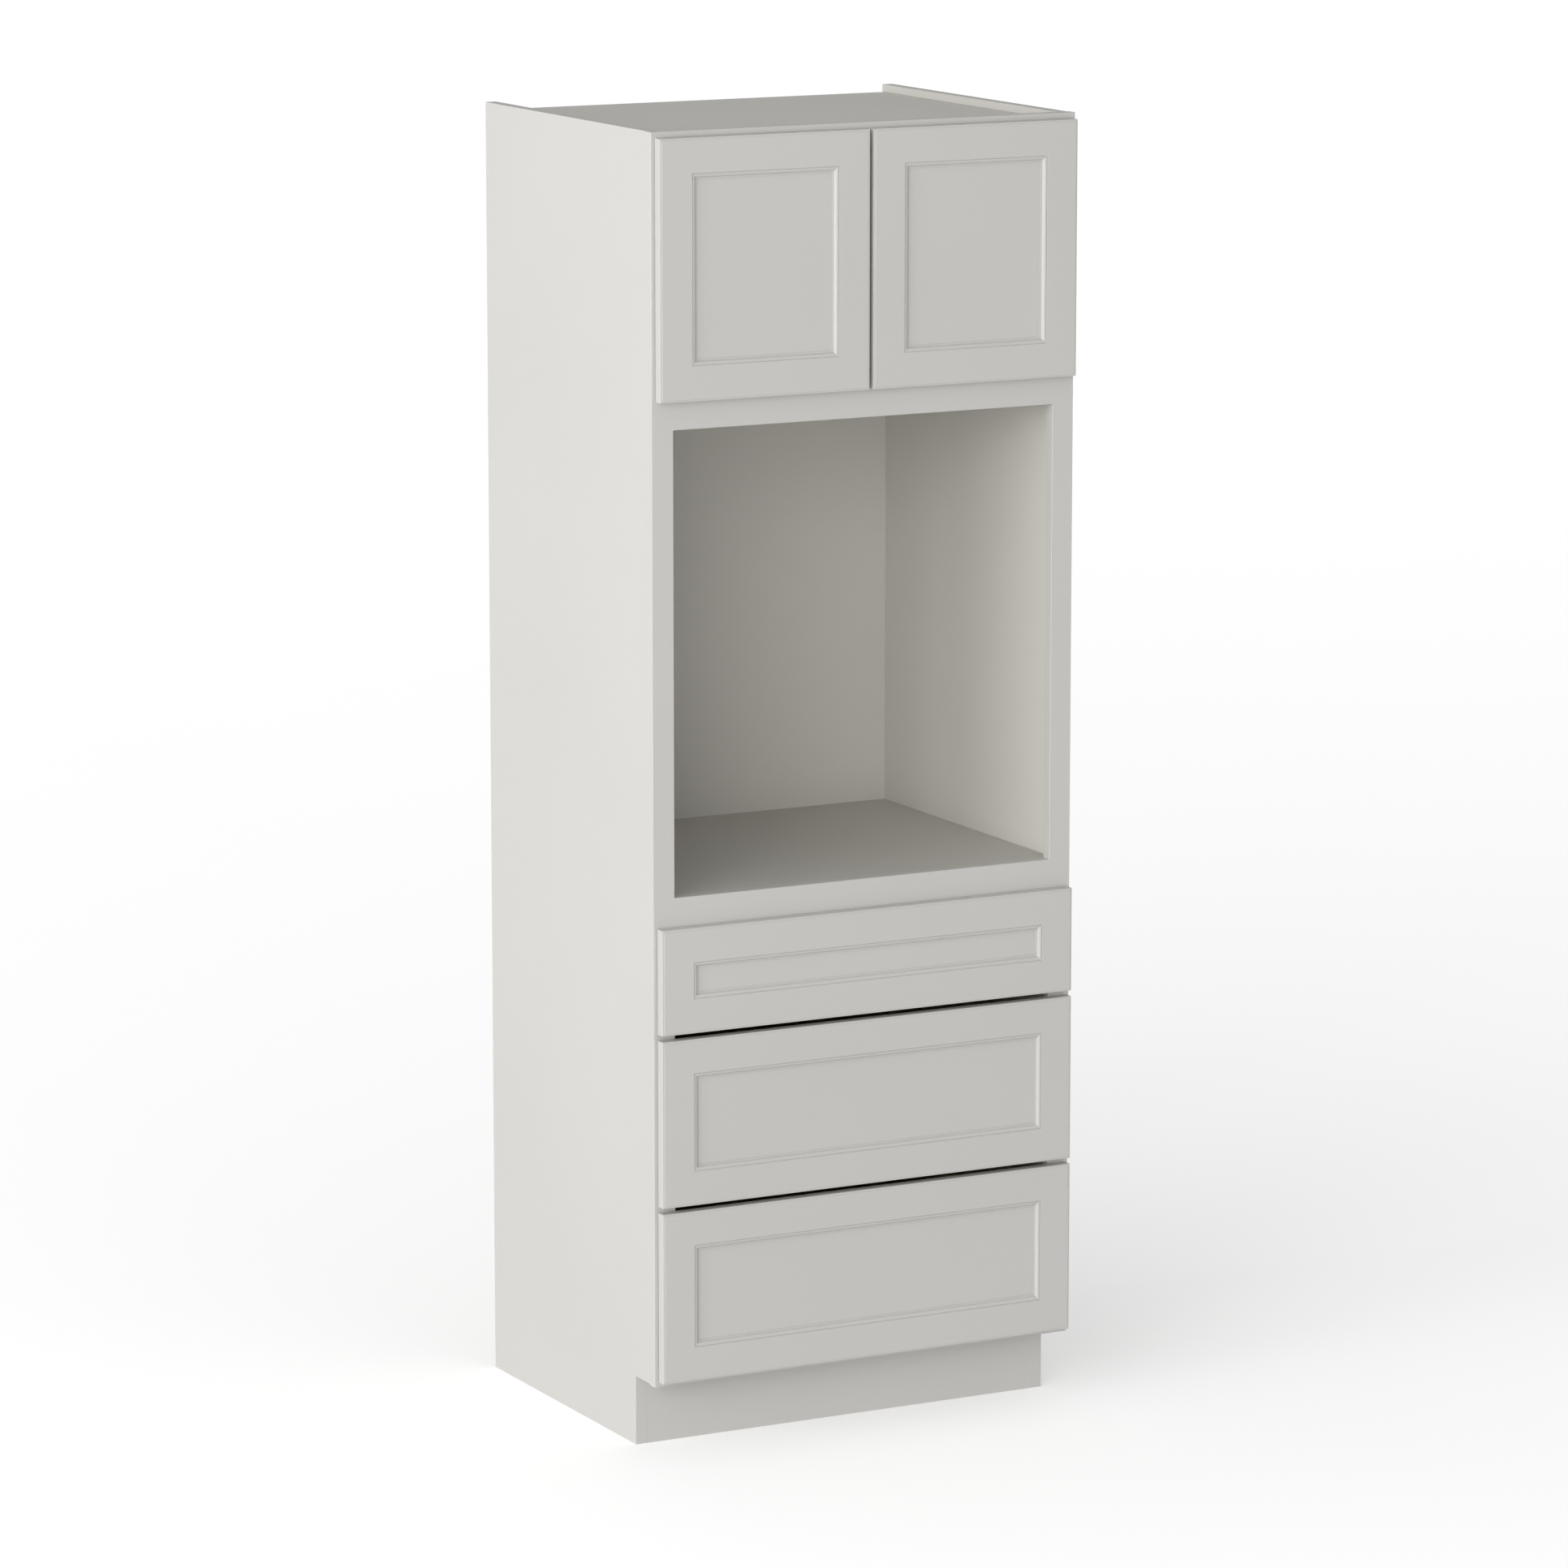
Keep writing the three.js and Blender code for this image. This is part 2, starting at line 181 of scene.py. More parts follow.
# small parts
CONTACT = 0.05 * MM  # air between pieces that are held together
LAP = 0.1 * MM  # how far the shells of one piece reach into each other
SCREW_HEAD = 3.6 * MM
SCREW_RIM = 0.5 * MM
SCREW_DOME = 1.3 * MM
SCREW_CROSS = (1.9 * MM, 0.45 * MM)  # half length and half width of an arm
SCREW_RECESS = 0.7 * MM  # height of its floor over the seat
BUMPER_RADIUS = 4 * MM
BUMPER_RIM = 0.4 * MM
BUMPER_ARC = (20, 40, 60, 78)  # degrees
DOOR_BUMPER_X = 16 * MM
DOOR_BUMPER_LEVELS = (5.2 * MM, 9 * MM)  # inside the door's lower and upper edges
DRAWER_BUMPER = (9 * MM, 12 * MM)  # inside the front's edges, across and up
HANG_RAIL = (19 * MM, 76 * MM)
HANG_SCREWS_X = (-0.3, -0.1, 0.1, 0.3)
CLEAT = (19 * MM, 19 * MM)
CLEAT_ENDS = (5 * MM, 15 * MM)  # clear of the frame and of the back
CLEAT_EASE = 0.8 * MM
CLEAT_SCREWS_Y = (-0.2, 0.0, 0.2)


# ---- material nodes ----
GRAIN_STRETCH = 0.045  # scale of the wood's pattern along its grain


def new_material(name):
    material = bpy.data.materials.new(name)
    material.use_nodes = True
    tree = material.node_tree
    return material, tree, tree.nodes["Principled BSDF"]


def add_node(tree, kind, **values):
    """A node with some of its inputs or settings set by name, and its linked inputs joined up."""
    node = tree.nodes.new("ShaderNode" + kind)
    for key, value in values.items():
        name = key.replace("_", " ")
        if name in node.inputs:
            if isinstance(value, bpy.types.NodeSocket):
                tree.links.new(value, node.inputs[name])
            else:
                node.inputs[name].default_value = value
        else:
            setattr(node, key, value)
    return node


def place_on_object(tree, scale=(1, 1, 1)):
    """Object coordinates, so that a pattern moves with its piece."""
    coordinates = add_node(tree, "TexCoord").outputs["Object"]
    return add_node(tree, "Mapping", Vector=coordinates, Scale=scale).outputs["Vector"]


def noise(tree, where, size, detail=2.0, roughness=0.5, distortion=0.0):
    """Noise whose features are about `size` metres across."""
    made = add_node(tree, "TexNoise", Vector=where, Scale=1 / size, Detail=detail)
    made.inputs["Roughness"].default_value = roughness
    made.inputs["Distortion"].default_value = distortion
    return made.outputs["Fac"]


def spread(tree, value, low, high, source=(0.3, 0.7)):
    """Maps a pattern's value onto the range from low to high."""
    mapped = add_node(tree, "MapRange", Value=value)
    numbers = {"From Min": source[0], "From Max": source[1], "To Min": low, "To Max": high}
    for name, number in numbers.items():
        mapped.inputs[name].default_value = number
    return mapped.outputs["Result"]


def ramp(tree, value, stops):
    made = add_node(tree, "ValToRGB", Fac=value)
    elements = made.color_ramp.elements
    while len(elements) < len(stops):
        elements.new(0.5)
    for element, (position, color) in zip(elements, stops):
        element.position = position
        element.color = (*color, 1)
    return made.outputs["Color"]


def bump(tree, height, distance, strength, normal=None):
    made = add_node(tree, "Bump", Height=height, Distance=distance, Strength=strength)
    if normal is not None:
        tree.links.new(normal, made.inputs["Normal"])
    return made.outputs["Normal"]


def shade(color, factor):
    return tuple(channel * factor for channel in color)


def tinted(tree, value, color, dark, light, source=(0.3, 0.7)):
    """The colour, from a darker to a lighter shade of it as the pattern's value rises."""
    return ramp(tree, value, ((source[0], shade(color, dark)), (source[1], shade(color, light))))


def feed(tree, shader, **patterns):
    """Links patterns to the shader's inputs, which are named with _ for a space."""
    for key, pattern in patterns.items():
        tree.links.new(pattern, shader.inputs[key.replace("_", " ")])


def paint(name, color, roughness):
    """Sprayed satin paint: a faint change of tone, flow marks and a fine orange-peel texture."""
    material, tree, shader = new_material(name)
    where = place_on_object(tree)
    tone = noise(tree, where, 0.45, detail=3)
    flow = noise(tree, where, 6 * MM, detail=1)
    peel = noise(tree, where, 0.9 * MM, detail=2)
    flowed = bump(tree, flow, 0.02 * MM, 0.35)
    feed(
        tree,
        shader,
        Base_Color=tinted(tree, tone, color, 0.985, 1.012),
        Roughness=spread(tree, flow, roughness - 0.03, roughness + 0.04),
        Normal=bump(tree, peel, 0.012 * MM, 0.3, flowed),
    )
    shader.inputs["IOR"].default_value = 1.47
    return material


def birch(name, grain_axis, color):
    """Clear-coated birch with its grain along one axis, and darker end grain across it."""
    material, tree, shader = new_material(name)
    stretch = [1.0, 1.0, 1.0]
    stretch["xyz".index(grain_axis)] = GRAIN_STRETCH
    where = place_on_object(tree, stretch)
    growth = noise(tree, where, 16 * MM, detail=4, roughness=0.55, distortion=0.6)
    fibre = noise(tree, where, 0.9 * MM, detail=3, roughness=0.6)
    pores = noise(tree, where, 0.35 * MM, detail=1)
    ring_stops = ((0.3, 0.86), (0.46, 1.0), (0.56, 1.08), (0.72, 0.93))
    rings = ramp(tree, growth, [(position, shade(color, factor)) for position, factor in ring_stops])
    streaks = ramp(tree, fibre, ((0.3, (0.88, 0.86, 0.82)), (0.65, (1, 1, 1))))
    grained = add_node(tree, "MixRGB", blend_type="MULTIPLY", Fac=0.8, Color1=rings, Color2=streaks)
    facing = add_node(tree, "SeparateXYZ", Vector=add_node(tree, "TexCoord").outputs["Normal"])
    across = add_node(tree, "Math", operation="ABSOLUTE")
    tree.links.new(facing.outputs[grain_axis.upper()], across.inputs[0])
    end_grain = spread(tree, across.outputs[0], 0, 0.75, (0.8, 0.95))
    end_color = (*shade(color, 0.62), 1)
    darkened = add_node(tree, "MixRGB", Fac=end_grain, Color1=grained.outputs["Color"], Color2=end_color)
    feed(
        tree,
        shader,
        Base_Color=darkened.outputs["Color"],
        Roughness=spread(tree, fibre, 0.42, 0.56),
        Normal=bump(tree, pores, 0.03 * MM, 0.4),
    )
    return material


def metal(name, color, roughness, spangle, contrast):
    """Plated steel: patches a few millimetres across differ a little in tone and gloss."""
    material, tree, shader = new_material(name)
    where = place_on_object(tree)
    cells = add_node(tree, "TexVoronoi", Vector=where, Scale=1 / spangle).outputs["Color"]
    patch = add_node(tree, "SeparateColor", Color=cells).outputs["Red"]
    grit = noise(tree, where, 0.5 * MM, detail=2)
    least, most = roughness - 0.05 * contrast, roughness + 0.06 * contrast
    feed(
        tree,
        shader,
        Base_Color=tinted(tree, patch, color, 1 - 0.07 * contrast, 1 + 0.05 * contrast, (0, 1)),
        Roughness=spread(tree, patch, least, most, (0, 1)),
        Normal=bump(tree, grit, 0.01 * MM, 0.25),
    )
    shader.inputs["Metallic"].default_value = 1.0
    return material


def plastic(name, color, roughness, transmission=0.0):
    """Moulded plastic or rubber with a fine spark-eroded grain."""
    material, tree, shader = new_material(name)
    where = place_on_object(tree)
    grain = noise(tree, where, 0.4 * MM, detail=2)
    tone = noise(tree, where, 8 * MM, detail=2)
    feed(
        tree,
        shader,
        Base_Color=tinted(tree, tone, color, 0.94, 1.04),
        Roughness=spread(tree, grain, roughness - 0.04, roughness + 0.05),
        Normal=bump(tree, grain, 0.02 * MM, 0.3),
    )
    shader.inputs["Transmission Weight"].default_value = transmission
    return material


def studio_paper(name, color, near, far, kept):
    """Pale seamless paper, faintly mottled. Its glow goes from near to far with the distance."""
    material, tree, shader = new_material(name)
    where = place_on_object(tree)
    tone = noise(tree, where, 0.8, detail=3)
    distance = add_node(tree, "VectorMath", operation="LENGTH")
    tree.links.new(where, distance.inputs[0])
    nearness = add_node(tree, "Math", operation="POWER")
    nearness.inputs[0].default_value = kept
    tree.links.new(distance.outputs["Value"], nearness.inputs[1])
    feed(
        tree,
        shader,
        Base_Color=tinted(tree, tone, color, 0.995, 1.0),
        Emission_Strength=spread(tree, nearness.outputs[0], far, near, (0.0, 1.0)),
    )
    shader.inputs["Roughness"].default_value = 0.9
    shader.inputs["Specular IOR Level"].default_value = 0.0
    shader.inputs["Emission Color"].default_value = (1, 1, 1, 1)
    return material


PAINT = (0.54, 0.53, 0.505)
INTERIOR = (0.595, 0.583, 0.541)
BIRCH = (0.66, 0.50, 0.32)
cabinet_paint = paint("cabinet_paint", PAINT, 0.44)
front_paint = paint("front_paint", PAINT, 0.44)
interior_paint = paint("interior_paint", INTERIOR, 0.48)
# Painted shade: the bay floor gets the interior paint darkened to 0.86 of it, for the gloom in the bay.
# The real floor has the same paint as the other interior boards.
oven_floor_painted_shade = paint("oven_floor_painted_shade", shade(INTERIOR, 0.86), 0.48)
birch_deep = birch("birch_grain_along_y", "y", BIRCH)
birch_wide = birch("birch_grain_along_x", "x", BIRCH)
zinc = metal("zinc_plate", (0.60, 0.61, 0.62), 0.36, 5 * MM, contrast=1.0)
nickel = metal("satin_nickel", (0.66, 0.64, 0.60), 0.30, 2 * MM, contrast=0.3)
grey_plastic = plastic("grey_plastic", (0.20, 0.205, 0.21), 0.5)
clear_bumper = plastic("clear_bumper", (0.80, 0.80, 0.78), 0.25, transmission=0.6)


# ---- mesh tools ----
WELD = 0.002 * MM
SMOOTH_BELOW = math.radians(32)


def add_face(bm, points):
    bm.faces.new([bm.verts.new(point) for point in points])


def close_up(bm):
    """Joins the corners that faces share, and turns every face outwards."""
    bmesh.ops.remove_doubles(bm, verts=bm.verts, dist=WELD)
    bmesh.ops.recalc_face_normals(bm, faces=bm.faces)
    return bm


def add_piece(name, bm, material, body, nodes=(), smooth=True):
    """Makes an object of a finished mesh and lets it ride on a body, in place of some CAD nodes."""
    close_up(bm)
    mesh = bpy.data.meshes.new(name)
    bm.to_mesh(mesh)
    bm.free()
    mesh.materials.append(material)
    if smooth:
        mesh.shade_smooth()
        mesh.set_sharp_from_angle(angle=SMOOTH_BELOW)
    piece = bpy.data.objects.new(name, mesh)
    scene.collection.objects.link(piece)
    if body is not None:
        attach(piece, body)
    if nodes:
        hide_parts(*nodes)
    return piece


def soften(piece, width, segments=2):
    bevel = piece.modifiers.new("eased_arrises", "BEVEL")
    bevel.width = width
    bevel.segments = segments
    bevel.limit_method = "ANGLE"
    bevel.angle_limit = math.radians(30)
    return piece


def joined(*parts):
    """One mesh that holds several closed shells."""
    whole = bmesh.new()
    for part in parts:
        close_up(part)
        mesh = bpy.data.meshes.new("shell")
        part.to_mesh(mesh)
        part.free()
        whole.from_mesh(mesh)
        bpy.data.meshes.remove(mesh)
    return whole


def as_object(bm, name):
    close_up(bm)
    mesh = bpy.data.meshes.new(name)
    bm.to_mesh(mesh)
    bm.free()
    made = bpy.data.objects.new(name, mesh)
    scene.collection.objects.link(made)
    return made


def carved(bm, cutter):
    """The first mesh less the second."""
    whole, tool = as_object(bm, "whole"), as_object(cutter, "tool")
    boolean = whole.modifiers.new("cut", "BOOLEAN")
    boolean.operation = "DIFFERENCE"
    boolean.solver = "EXACT"
    boolean.use_self = True
    boolean.object = tool
    result = bmesh.new()
    result.from_object(whole, bpy.context.evaluated_depsgraph_get())
    for used in (whole, tool):
        mesh = used.data
        bpy.data.objects.remove(used)
        bpy.data.meshes.remove(mesh)
    return result


def block(corner, opposite, ease=0.0, segments=2):
    """A board or bar between two opposite corners, with eased arrises."""
    bm = bmesh.new()
    bmesh.ops.create_cube(bm, size=1)
    low = [min(pair) for pair in zip(corner, opposite)]
    high = [max(pair) for pair in zip(corner, opposite)]
    for vertex in bm.verts:
        vertex.co = [a + (b - a) * (share + 0.5) for a, b, share in zip(low, high, vertex.co)]
    if ease:
        every = bm.edges[:]
        bmesh.ops.bevel(bm, geom=every, offset=ease, segments=segments, profile=0.5, affect="EDGES")
    return bm


def prism(outline, place, start, end):
    """An outline of (u, v) points drawn out along w; place(u, v, w) gives a point in the frame."""
    bm = bmesh.new()
    near = [bm.verts.new(place(u, v, start)) for u, v in outline]
    far = [bm.verts.new(place(u, v, end)) for u, v in outline]
    bm.faces.new(near)
    bm.faces.new(far)
    for i in range(len(outline)):
        j = (i + 1) % len(outline)
        bm.faces.new((near[i], near[j], far[j], far[i]))
    return bm


def loft(rings):
    """A closed skin through rings with equal numbers of points."""
    bm = bmesh.new()
    for near, far in zip(rings, rings[1:]):
        for i in range(len(near)):
            j = (i + 1) % len(near)
            add_face(bm, (near[i], near[j], far[j], far[i]))
    add_face(bm, rings[0])
    add_face(bm, rings[-1])
    bmesh.ops.remove_doubles(bm, verts=bm.verts, dist=WELD)
    bmesh.ops.dissolve_degenerate(bm, dist=WELD, edges=bm.edges)
    return bm


def lathe(profile, origin, axis, segments=40):
    """A profile of (radius, height) points that starts and ends on the axis, turned about it."""
    turn = Vector(axis).to_track_quat("Z", "Y").to_matrix()
    bm = bmesh.new()
    rings = []
    for radius, height in profile:
        angles = [2 * math.pi * k / segments for k in range(segments if radius else 1)]
        around = [Vector((radius * math.cos(a), radius * math.sin(a), height)) for a in angles]
        rings.append([bm.verts.new(Vector(origin) + turn @ point) for point in around])
    for near, far in zip(rings, rings[1:]):
        for k in range(segments):
            j = k + 1
            corners = [near[k % len(near)], near[j % len(near)], far[j % len(far)], far[k % len(far)]]
            bm.faces.new(list(dict.fromkeys(corners)))
    return bm


def bore(radius, depth, place, axis, segments, point=0.0):
    """A cutter for a round hole into a face along axis; point is the depth of the drill's tip."""
    profile = [(0, -CUT_PAST), (radius, -CUT_PAST), (radius, depth), (0, depth + point)]
    return lathe(profile, place, axis, segments)


def rounded(low, high, radius, steps=5):
    """Outline of a rectangle with round corners."""
    points = []
    for corner, (su, sv) in enumerate(((1, 1), (-1, 1), (-1, -1), (1, -1))):
        centre_u = high[0] - radius if su > 0 else low[0] + radius
        centre_v = high[1] - radius if sv > 0 else low[1] + radius
        for k in range(steps + 1):
            angle = math.pi / 2 * (corner + k / steps)
            points.append((centre_u + radius * math.cos(angle), centre_v + radius * math.sin(angle)))
    return points


def strip(path, thickness):
    """Outline of a folded strip: a centre line of (u, v) points with mitred turns."""
    path = [Vector(p) for p in path]
    offsets = []
    for k, point in enumerate(path):
        before = (point - path[k - 1]).normalized() if k else None
        after = (path[k + 1] - point).normalized() if k + 1 < len(path) else None
        one, two = before or after, after or before
        normal = Vector((-(one.y + two.y), one.x + two.x)).normalized()
        reach = thickness / 2 / max(0.3, normal.dot(Vector((-one.y, one.x))))
        offsets.append(normal * reach)
    there = [p + o for p, o in zip(path, offsets)]
    back = [p - o for p, o in zip(path, offsets)]
    return [tuple(p) for p in there + back[::-1]]


def catmull(points, t):
    """A point on a smooth curve through the given ones; t counts in stretches."""
    k = min(int(t), len(points) - 2)
    s = t - k
    p1, p2 = Vector(points[k]), Vector(points[k + 1])
    p0 = Vector(points[k - 1]) if k else 2 * p1 - p2
    p3 = Vector(points[k + 2]) if k + 2 < len(points) else 2 * p2 - p1
    cubic = -p0 + 3 * p1 - 3 * p2 + p3
    square = 2 * p0 - 5 * p1 + 4 * p2 - p3
    return 0.5 * (2 * p1 + (p2 - p0) * s + square * s * s + cubic * s * s * s)


def screw_head():
    """A pan head with a cross recess, its seat at the origin and its axis +Z."""
    crown = SCREW_RIM + SCREW_DOME
    angles = (0, 0.35, 0.7, 1.05, 1.35)
    dome = [(SCREW_HEAD * math.cos(a), SCREW_RIM + SCREW_DOME * math.sin(a)) for a in angles]
    head = lathe([(0, 0), (SCREW_HEAD, 0), *dome, (0, crown)], (0, 0, 0), (0, 0, 1), 28)
    arm, half = SCREW_CROSS
    tip = [(arm, -half), (arm, half), (half, half)]
    cross = []
    for _ in range(4):
        cross += tip
        tip = [(-v, u) for u, v in tip]
    cutter = prism(cross, lambda u, v, w: (u, v, w), SCREW_RECESS, 2 * crown)
    mesh = bpy.data.meshes.new("screw_head_pattern")
    cut = close_up(carved(head, cutter))
    cut.to_mesh(mesh)
    cut.free()
    return mesh


screw_pattern = screw_head()


def add_screws(name, places, axis, body, material=nickel, scale=1.0):
    """Screw heads that face along axis, as one piece."""
    bm = bmesh.new()
    turn = Vector(axis).to_track_quat("Z", "Y").to_matrix().to_4x4()
    for k, place in enumerate(places):
        start = len(bm.verts)
        bm.from_mesh(screw_pattern)
        bm.verts.ensure_lookup_table()
        spin = Matrix.Rotation(0.6 + 1.1 * k, 4, "Z")
        move = Matrix.Translation(place) @ turn @ spin @ Matrix.Scale(scale, 4)
        bmesh.ops.transform(bm, matrix=move, verts=bm.verts[start:])
    return add_piece(name, bm, material, body)


# ---- camera ----
CAMERA_PLACE = (-5.204, -9.956, 3.123)
CAMERA_YAW = 27.63  # degrees to the right of +Y
CAMERA_PITCH = 10.6  # degrees below the horizon
CAMERA_LENS = 159.35

camera = bpy.data.objects.new("camera", bpy.data.cameras.new("camera"))
camera.data.lens = CAMERA_LENS
camera.data.sensor_width = 36
camera.data.clip_start = 0.1
camera.data.clip_end = 500
camera.location = CAMERA_PLACE
camera.rotation_euler = Euler((math.radians(90 - CAMERA_PITCH), 0, -math.radians(CAMERA_YAW)))
scene.collection.objects.link(camera)
scene.camera = camera

# ---- places read from the frame ----
stile_low, stile_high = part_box("frame_stile_left")
FRAME_FRONT, FRAME_BACK = stile_low.y, stile_high.y
OPENING_HALF = -stile_high.x
SIDE_INNER = -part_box("side_left")[1].x
BACK_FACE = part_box("back_panel")[0].y
RAILS = ("frame_rail_bottom", "frame_rail_below_bay", "frame_rail_above_bay", "frame_rail_top")
RAIL_HEIGHTS = [(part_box(rail)[0].z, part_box(rail)[1].z) for rail in RAILS]
OPENINGS = [(lower[1], upper[0]) for lower, upper in zip(RAIL_HEIGHTS, RAIL_HEIGHTS[1:])]


# ---- face frame ----
def frame_stile(side, sign):
    """A stile whose inner front arris is eased between the rails only, where it is open."""
    def ring(height, ease):
        outer, inner = sign * -stile_low.x, sign * OPENING_HALF
        points = [
            (outer, FRAME_BACK),
            (outer, FRAME_FRONT + FRAME_EASE),
            (outer - sign * FRAME_EASE, FRAME_FRONT),
            (inner + sign * ease, FRAME_FRONT),
            (inner, FRAME_FRONT + ease),
            (inner, FRAME_BACK),
        ]
        return [(x, y, height) for x, y in points]

    rings = [ring(stile_low.z, 0)]
    for low, high in OPENINGS:
        rings += [ring(low, 0), ring(low + FRAME_EASE, FRAME_EASE)]
        rings += [ring(high - FRAME_EASE, FRAME_EASE), ring(high, 0)]
    rings.append(ring(stile_high.z, 0))
    node = f"frame_stile_{side}"
    add_piece(f"{node}_eased", loft(rings), cabinet_paint, "carcass", [node], smooth=False)


def frame_rail(node, low, high):
    """A rail whose front arrises meet those of the stiles in small mitres."""
    def ring(x, ease):
        under = ease if low > stile_low.z else 0
        over = ease if high < stile_high.z else 0
        points = [
            (low, FRAME_BACK),
            (low, FRAME_FRONT + under),
            (low + under, FRAME_FRONT),
            (high - over, FRAME_FRONT),
            (high, FRAME_FRONT + over),
            (high, FRAME_BACK),
        ]
        return [(x, y, z) for z, y in points]

    end, near = OPENING_HALF, OPENING_HALF - FRAME_EASE
    rings = [ring(-end, 0), ring(-near, FRAME_EASE), ring(near, FRAME_EASE), ring(end, 0)]
    add_piece(f"{node}_eased", loft(rings), cabinet_paint, "carcass", [node], smooth=False)


for side, sign in SIDES:
    frame_stile(side, sign)
for rail, (low, high) in zip(RAILS, RAIL_HEIGHTS):
    frame_rail(rail, low, high)


# ---- boards of the carcass ----
def add_board(node, body, material, grow_low=(0, 0, 0), grow_high=(0, 0, 0), ease=BOARD_EASE):
    """A CAD board, grown by shares of the CAD gap towards the neighbours that it touches."""
    low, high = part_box(node)
    low -= Vector(grow_low) * CAD_GAP
    high += Vector(grow_high) * CAD_GAP
    return add_piece(f"{node}_board", block(low, high, ease), material, body, [node], smooth=False)


for node in ("top_panel", "cupboard_floor", "bottom_panel"):
    add_board(node, "carcass", interior_paint, (0, 1, 0.9), (0, 1, 0.9), ease=HIDDEN_EASE)
# The oven floor board carries painted shade: its paint is the interior paint darkened.
add_board("oven_floor", "carcass", oven_floor_painted_shade, (1, 1, 0), (1, 1, 0), ease=FITTED_EASE)
add_board("back_panel", "carcass", interior_paint, ease=HIDDEN_EASE)
add_board("toe_kick", "carcass", cabinet_paint, (1, 0, 0), (1, 0, 1), ease=FITTED_EASE)
add_board("shelf", "carcass", interior_paint, ease=SHELF_EASE)

SHELF_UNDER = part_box("shelf")[0].z
PIN_ROWS = (FRAME_BACK + PIN_FROM_FRONT, BACK_FACE - PIN_FROM_BACK)
PIN_MIDDLE = SHELF_UNDER - PIN_RADIUS
NEARBY = 0.05 * MM
INWARDS = -0.9  # faces whose normal is lower than this look into the cabinet


def side_panel(side, sign):
    """The CAD side, moved up to the face frame, drilled for shelf pins and painted paler inside."""
    node = f"side_{side}"
    bm = bmesh.new()
    bm.from_mesh(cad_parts[node].data)
    bmesh.ops.remove_doubles(bm, verts=bm.verts, dist=WELD)
    bmesh.ops.dissolve_limit(bm, angle_limit=math.radians(1), verts=bm.verts, edges=bm.edges)
    for vertex in bm.verts:
        if abs(vertex.co.y - FRAME_BACK - CAD_GAP) < NEARBY:
            vertex.co.y = FRAME_BACK
    holes = []
    for y in PIN_ROWS:
        for k in range(PIN_HOLES):
            place = (sign * SIDE_INNER, y, PIN_MIDDLE + (k - PIN_HOLES // 2) * PIN_PITCH)
            holes.append(bore(PIN_RADIUS, PIN_HOLE_DEPTH, place, (sign, 0, 0), 20, point=HOLE_TIP))
    drilled = carved(bm, joined(*holes))
    made = add_piece(f"{node}_drilled", drilled, cabinet_paint, "carcass", [node], smooth=False)
    made.data.materials.append(interior_paint)
    for face in made.data.polygons:
        if face.normal.x * sign < INWARDS:
            face.material_index = 1
    soften(made, BOARD_EASE)


def shelf_pin(side, sign, place, y):
    """A steel pin with a collar and a flat spoon under the shelf."""
    end = PIN_REACH + PIN_HEAD
    chamfer, chamfer_length = PIN_CHAMFER
    collar, collar_length = PIN_COLLAR
    profile = [
        (0, 0),
        (PIN_RADIUS - chamfer, 0),
        (PIN_RADIUS, chamfer_length),
        (PIN_RADIUS, PIN_REACH),
        (collar, PIN_REACH),
        (collar, PIN_REACH + collar_length),
        (PIN_RADIUS, end),
        (0, end),
    ]
    stem = lathe(profile, (sign * (SIDE_INNER + PIN_REACH), y, PIN_MIDDLE), (-sign, 0, 0), 24)
    width, length = SPOON
    root = SIDE_INNER - PIN_HEAD + LAP

    def under_shelf(u, v, w):
        return (sign * (root - v), y + u, w)

    outline = rounded((-width / 2, 0), (width / 2, length), SPOON_CORNER)
    spoon = prism(outline, under_shelf, PIN_MIDDLE + SPOON_UNDER, SHELF_UNDER - CONTACT)
    add_piece(f"shelf_pin_{side}_{place}", joined(stem, spoon), nickel, "carcass")


def hanging_rail():
    """The rail under the top at the back, which is screwed to the wall."""
    depth, height = HANG_RAIL
    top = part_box("top_panel")[0].z
    front = BACK_FACE - depth
    rail = block((-SIDE_INNER, front, top - height), (SIDE_INNER, BACK_FACE, top), BOARD_EASE)
    add_piece("hanging_rail", rail, interior_paint, "carcass")
    spots = [(x, front, top - height / 2) for x in HANG_SCREWS_X]
    add_screws("hanging_rail_screws", spots, (0, -1, 0), "carcass")


def oven_floor_cleat(side, sign):
    """A batten that carries the oven floor along one side."""
    width, height = CLEAT
    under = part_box("oven_floor")[0].z
    front, back = FRAME_BACK + CLEAT_ENDS[0], BACK_FACE - CLEAT_ENDS[1]
    face = sign * (SIDE_INNER - width)
    batten = block((face, front, under - height), (sign * SIDE_INNER, back, under), CLEAT_EASE)
    add_piece(f"oven_floor_cleat_{side}", batten, birch_deep, "carcass")
    spots = [(face, y, under - height / 2) for y in CLEAT_SCREWS_Y]
    add_screws(f"oven_floor_cleat_screws_{side}", spots, (-sign, 0, 0), "carcass", zinc)


for side, sign in SIDES:
    side_panel(side, sign)
    for place, y in zip(("front", "back"), PIN_ROWS):
        shelf_pin(side, sign, place, y)
    oven_floor_cleat(side, sign)
hanging_rail()


# ---- moulded fronts ----
face_low, face_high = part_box("door_left_stile_hinge")
FRONT_FACE, FRONT_BACK = face_low.y, face_high.y
THICKNESS = FRONT_BACK - FRONT_FACE
MEMBER = face_high.x - face_low.x  # outer edge to the panel
panel_low, panel_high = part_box("door_left_panel")
GROOVE_FRONT = panel_low.y - FRONT_FACE - CAD_GAP
GROOVE_BACK = panel_high.y - FRONT_FACE + CAD_GAP
GROOVE_EDGE = panel_low.x - face_low.x - CAD_GAP
FLAT = MEMBER - LEDGE_WIDTH - OVOLO_WIDTH - QUIRK_WIDTH - ARRIS

